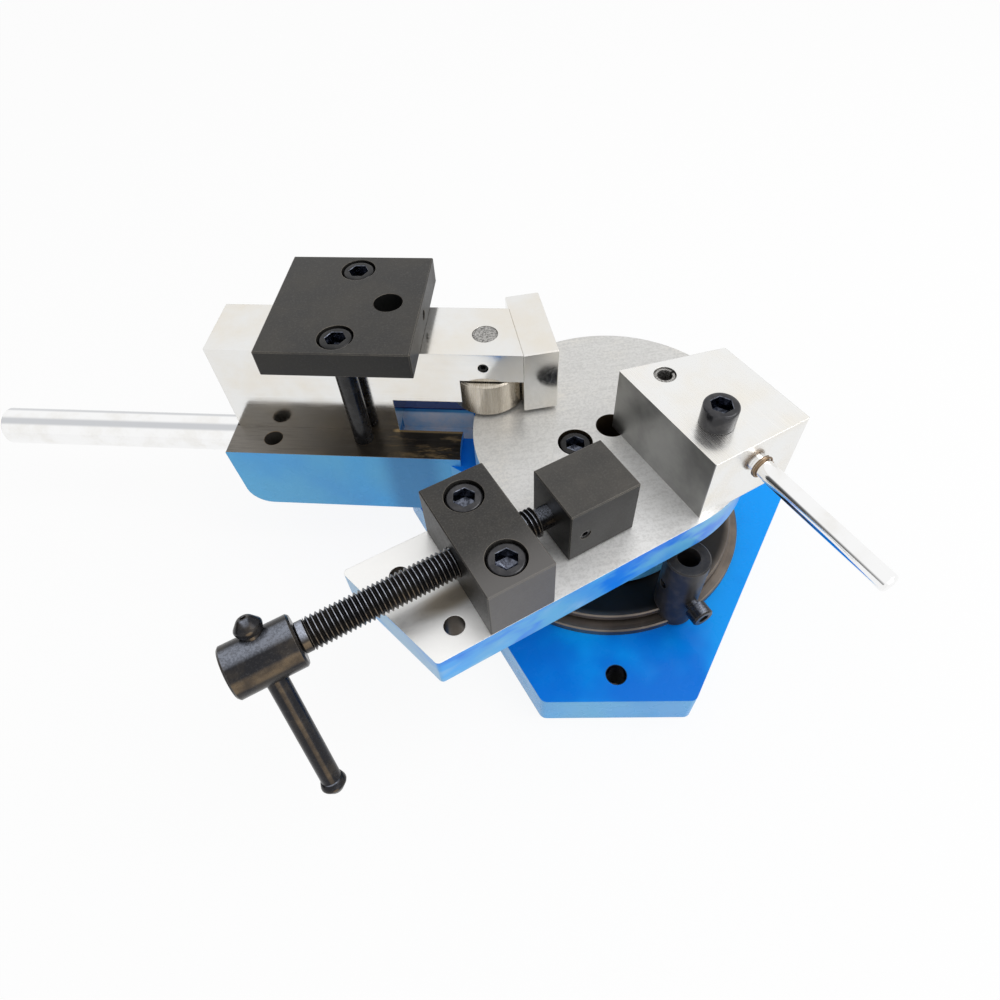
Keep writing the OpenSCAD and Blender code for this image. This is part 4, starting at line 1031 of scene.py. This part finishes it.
def make_rod_ring():
    """Ring of spring wire at the gauge rod's root: nearly two turns."""
    low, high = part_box("rod_collar")
    wire = 0.6 * MM
    reach = (high.x - low.x) / 2 - wire
    turns, steps, sides = 1.85, 40, 10
    first_angle = math.radians(60)
    first_place = high.y - low.y - 3.5 * wire
    lead = 1.7 * wire
    vertices = []
    rings = int(turns * steps) + 1
    for i in range(rings):
        angle = first_angle + 2 * math.pi * i / steps
        outward = Vector((math.cos(angle), 0, math.sin(angle)))
        centre = reach * outward + Vector((0, first_place - lead * i / steps, 0))
        for k in range(sides):
            angle = 2 * math.pi * k / sides
            vertices.append(centre + wire * (outward * math.cos(angle) + Vector((0, math.sin(angle), 0))))
    faces = ring_faces(rings, sides)
    faces += [tuple(range(sides)), tuple(len(vertices) - sides + k for k in range(sides))]
    axis = middle("rod_collar")
    place = Matrix.Translation((axis.x, low.y, axis.z))
    make_piece("rod_spring_ring", placed(vertices, place), faces, "rod_collar", "gauge", 50)


def make_tommy_caps():
    """Caps of the tommy bar: a short round foot, a cone above it and a small drilled top."""
    turn = joint_axis("tommy_slide").to_track_quat("Z", "Y").to_matrix().to_4x4()
    low, high = box_in("tommy_caps", turn)
    back = turn.inverted()
    heights = [(back @ v.co).z for v in frame["nodes"]["tommy_caps"].data.vertices]
    half_way = (low.z + high.z) / 2
    seats = [(min(z for z in heights if z > half_way), 1), (max(z for z in heights if z < half_way), -1)]
    shape, faces = turned([(height * MM, radius * MM) for height, radius in TOMMY_CAP], 48)
    parts = []
    for seat, way in seats:
        upright = Matrix.Rotation(-way * math.pi / 2, 4, "Y")
        place = Matrix.Translation(((low.x + high.x) / 2, (low.y + high.y) / 2, seat))
        parts.append((placed(shape, turn @ place @ upright), faces))
    vertices, faces = joined(parts)
    make_piece("tommy_caps_drilled", vertices, faces, "tommy_caps", "tommy", 40)


def make_world():
    """White to the camera. Metals see it too, but for one dark side of the room."""
    world = bpy.data.worlds.new("studio")
    world.use_nodes = True
    work = Tree(world.node_tree)
    work.tree.nodes.clear()
    path = work.node("ShaderNodeLightPath").outputs
    direction = work.node("ShaderNodeTexCoord").outputs["Generated"]
    shade = work.between(work.vector("DOT_PRODUCT", direction, DARK_SIDE), DARK_FROM, DARK_FULL,
                         1.0, DARK_LEVEL)
    seen = work.mix_numbers(path["Is Glossy Ray"], FILL, shade)
    plain = work.most(path["Is Camera Ray"], path["Is Transmission Ray"])
    strength = work.mix_numbers(plain, seen, 1.0)
    background = work.node("ShaderNodeBackground", {"Color": rgb(1, 1, 1), "Strength": strength})
    work.node("ShaderNodeOutputWorld", {0: background.outputs[0]})
    world.cycles.sampling_method = "NONE"
    bpy.context.scene.world = world


def make_floor():
    """White floor that keeps a light shadow of the object."""
    half = FLOOR_HALF
    mesh = bpy.data.meshes.new("floor")
    mesh.from_pydata([(-half, -half, 0), (half, -half, 0), (half, half, 0), (-half, half, 0)], [],
                     [(0, 1, 2, 3)])
    floor = bpy.data.objects.new("floor", mesh)
    bpy.context.scene.collection.objects.link(floor)
    floor.location.z = -FLOOR_DROP
    recipe = Recipe("floor_white", Base_Color=rgb(0.93, 0.93, 0.93), Roughness=1.0,
                    Specular_IOR_Level=0.0)
    path = recipe.node("ShaderNodeLightPath").outputs
    seen = recipe.most(path["Is Camera Ray"], path["Is Glossy Ray"])
    seen = recipe.most(seen, path["Is Transmission Ray"])
    away = recipe.between(recipe.vector("LENGTH", recipe.place), HOLE_DARK, HOLE_BRIGHT, 0, FLOOR_GLOW)
    for hole in bolt_places():
        far = recipe.between(recipe.vector("DISTANCE", recipe.place, hole), HOLE_DARK, HOLE_BRIGHT)
        away = recipe.times(far, away)
    glow = recipe.node("ShaderNodeEmission", {"Color": rgb(1, 1, 1), "Strength": 1.0})
    mixed = recipe.node("ShaderNodeMixShader", {0: recipe.times(seen, away), 1: recipe.shader.outputs[0],
                                                2: glow.outputs[0]})
    recipe.put(recipe.tree.nodes["Material Output"].inputs[0], mixed.outputs[0])
    mesh.materials.append(recipe.material)


def make_lamps():
    """Large round lamps that face the middle of the floor."""
    for name, place, size, power in LAMPS:
        data = bpy.data.lights.new(name, "AREA")
        data.shape = "DISK"
        data.size = size
        data.energy = power
        lamp = bpy.data.objects.new(name, data)
        lamp.location = place
        lamp.rotation_euler = (-place).to_track_quat("-Z", "Y").to_euler()
        bpy.context.scene.collection.objects.link(lamp)


def make_camera():
    """The photograph's camera."""
    level = math.cos(CAMERA_DIP)
    forward = Vector((math.sin(CAMERA_TURN) * level, math.cos(CAMERA_TURN) * level, -math.sin(CAMERA_DIP)))
    flat = forward.cross(UP).normalized()
    right = flat * math.cos(CAMERA_ROLL) + flat.cross(forward) * math.sin(CAMERA_ROLL)
    up = right.cross(forward)
    data = bpy.data.cameras.new("camera")
    data.sensor_width = CAMERA_SENSOR
    data.lens = CAMERA_LENS
    data.clip_start = CAMERA_NEAR
    camera = bpy.data.objects.new("camera", data)
    turn = Matrix((right, up, -forward)).transposed().to_4x4()
    camera.matrix_world = Matrix.Translation(CAMERA_PLACE) @ turn
    bpy.context.scene.collection.objects.link(camera)
    bpy.context.scene.camera = camera


bpy.context.scene.view_settings.view_transform = "Standard"
make_camera()
make_world()
make_floor()
make_lamps()
finishes = wear_finishes()
socket_finish = socket_black()
make_lead_screw()
make_cap_screws("nut_block_screws", "root")
make_cap_screws("table_screws", "root")
make_cap_screws("form_block_screw", "root")
make_cap_screws("strap_screws", "arm", to_arm)
make_rod_ring()
make_tommy_caps()
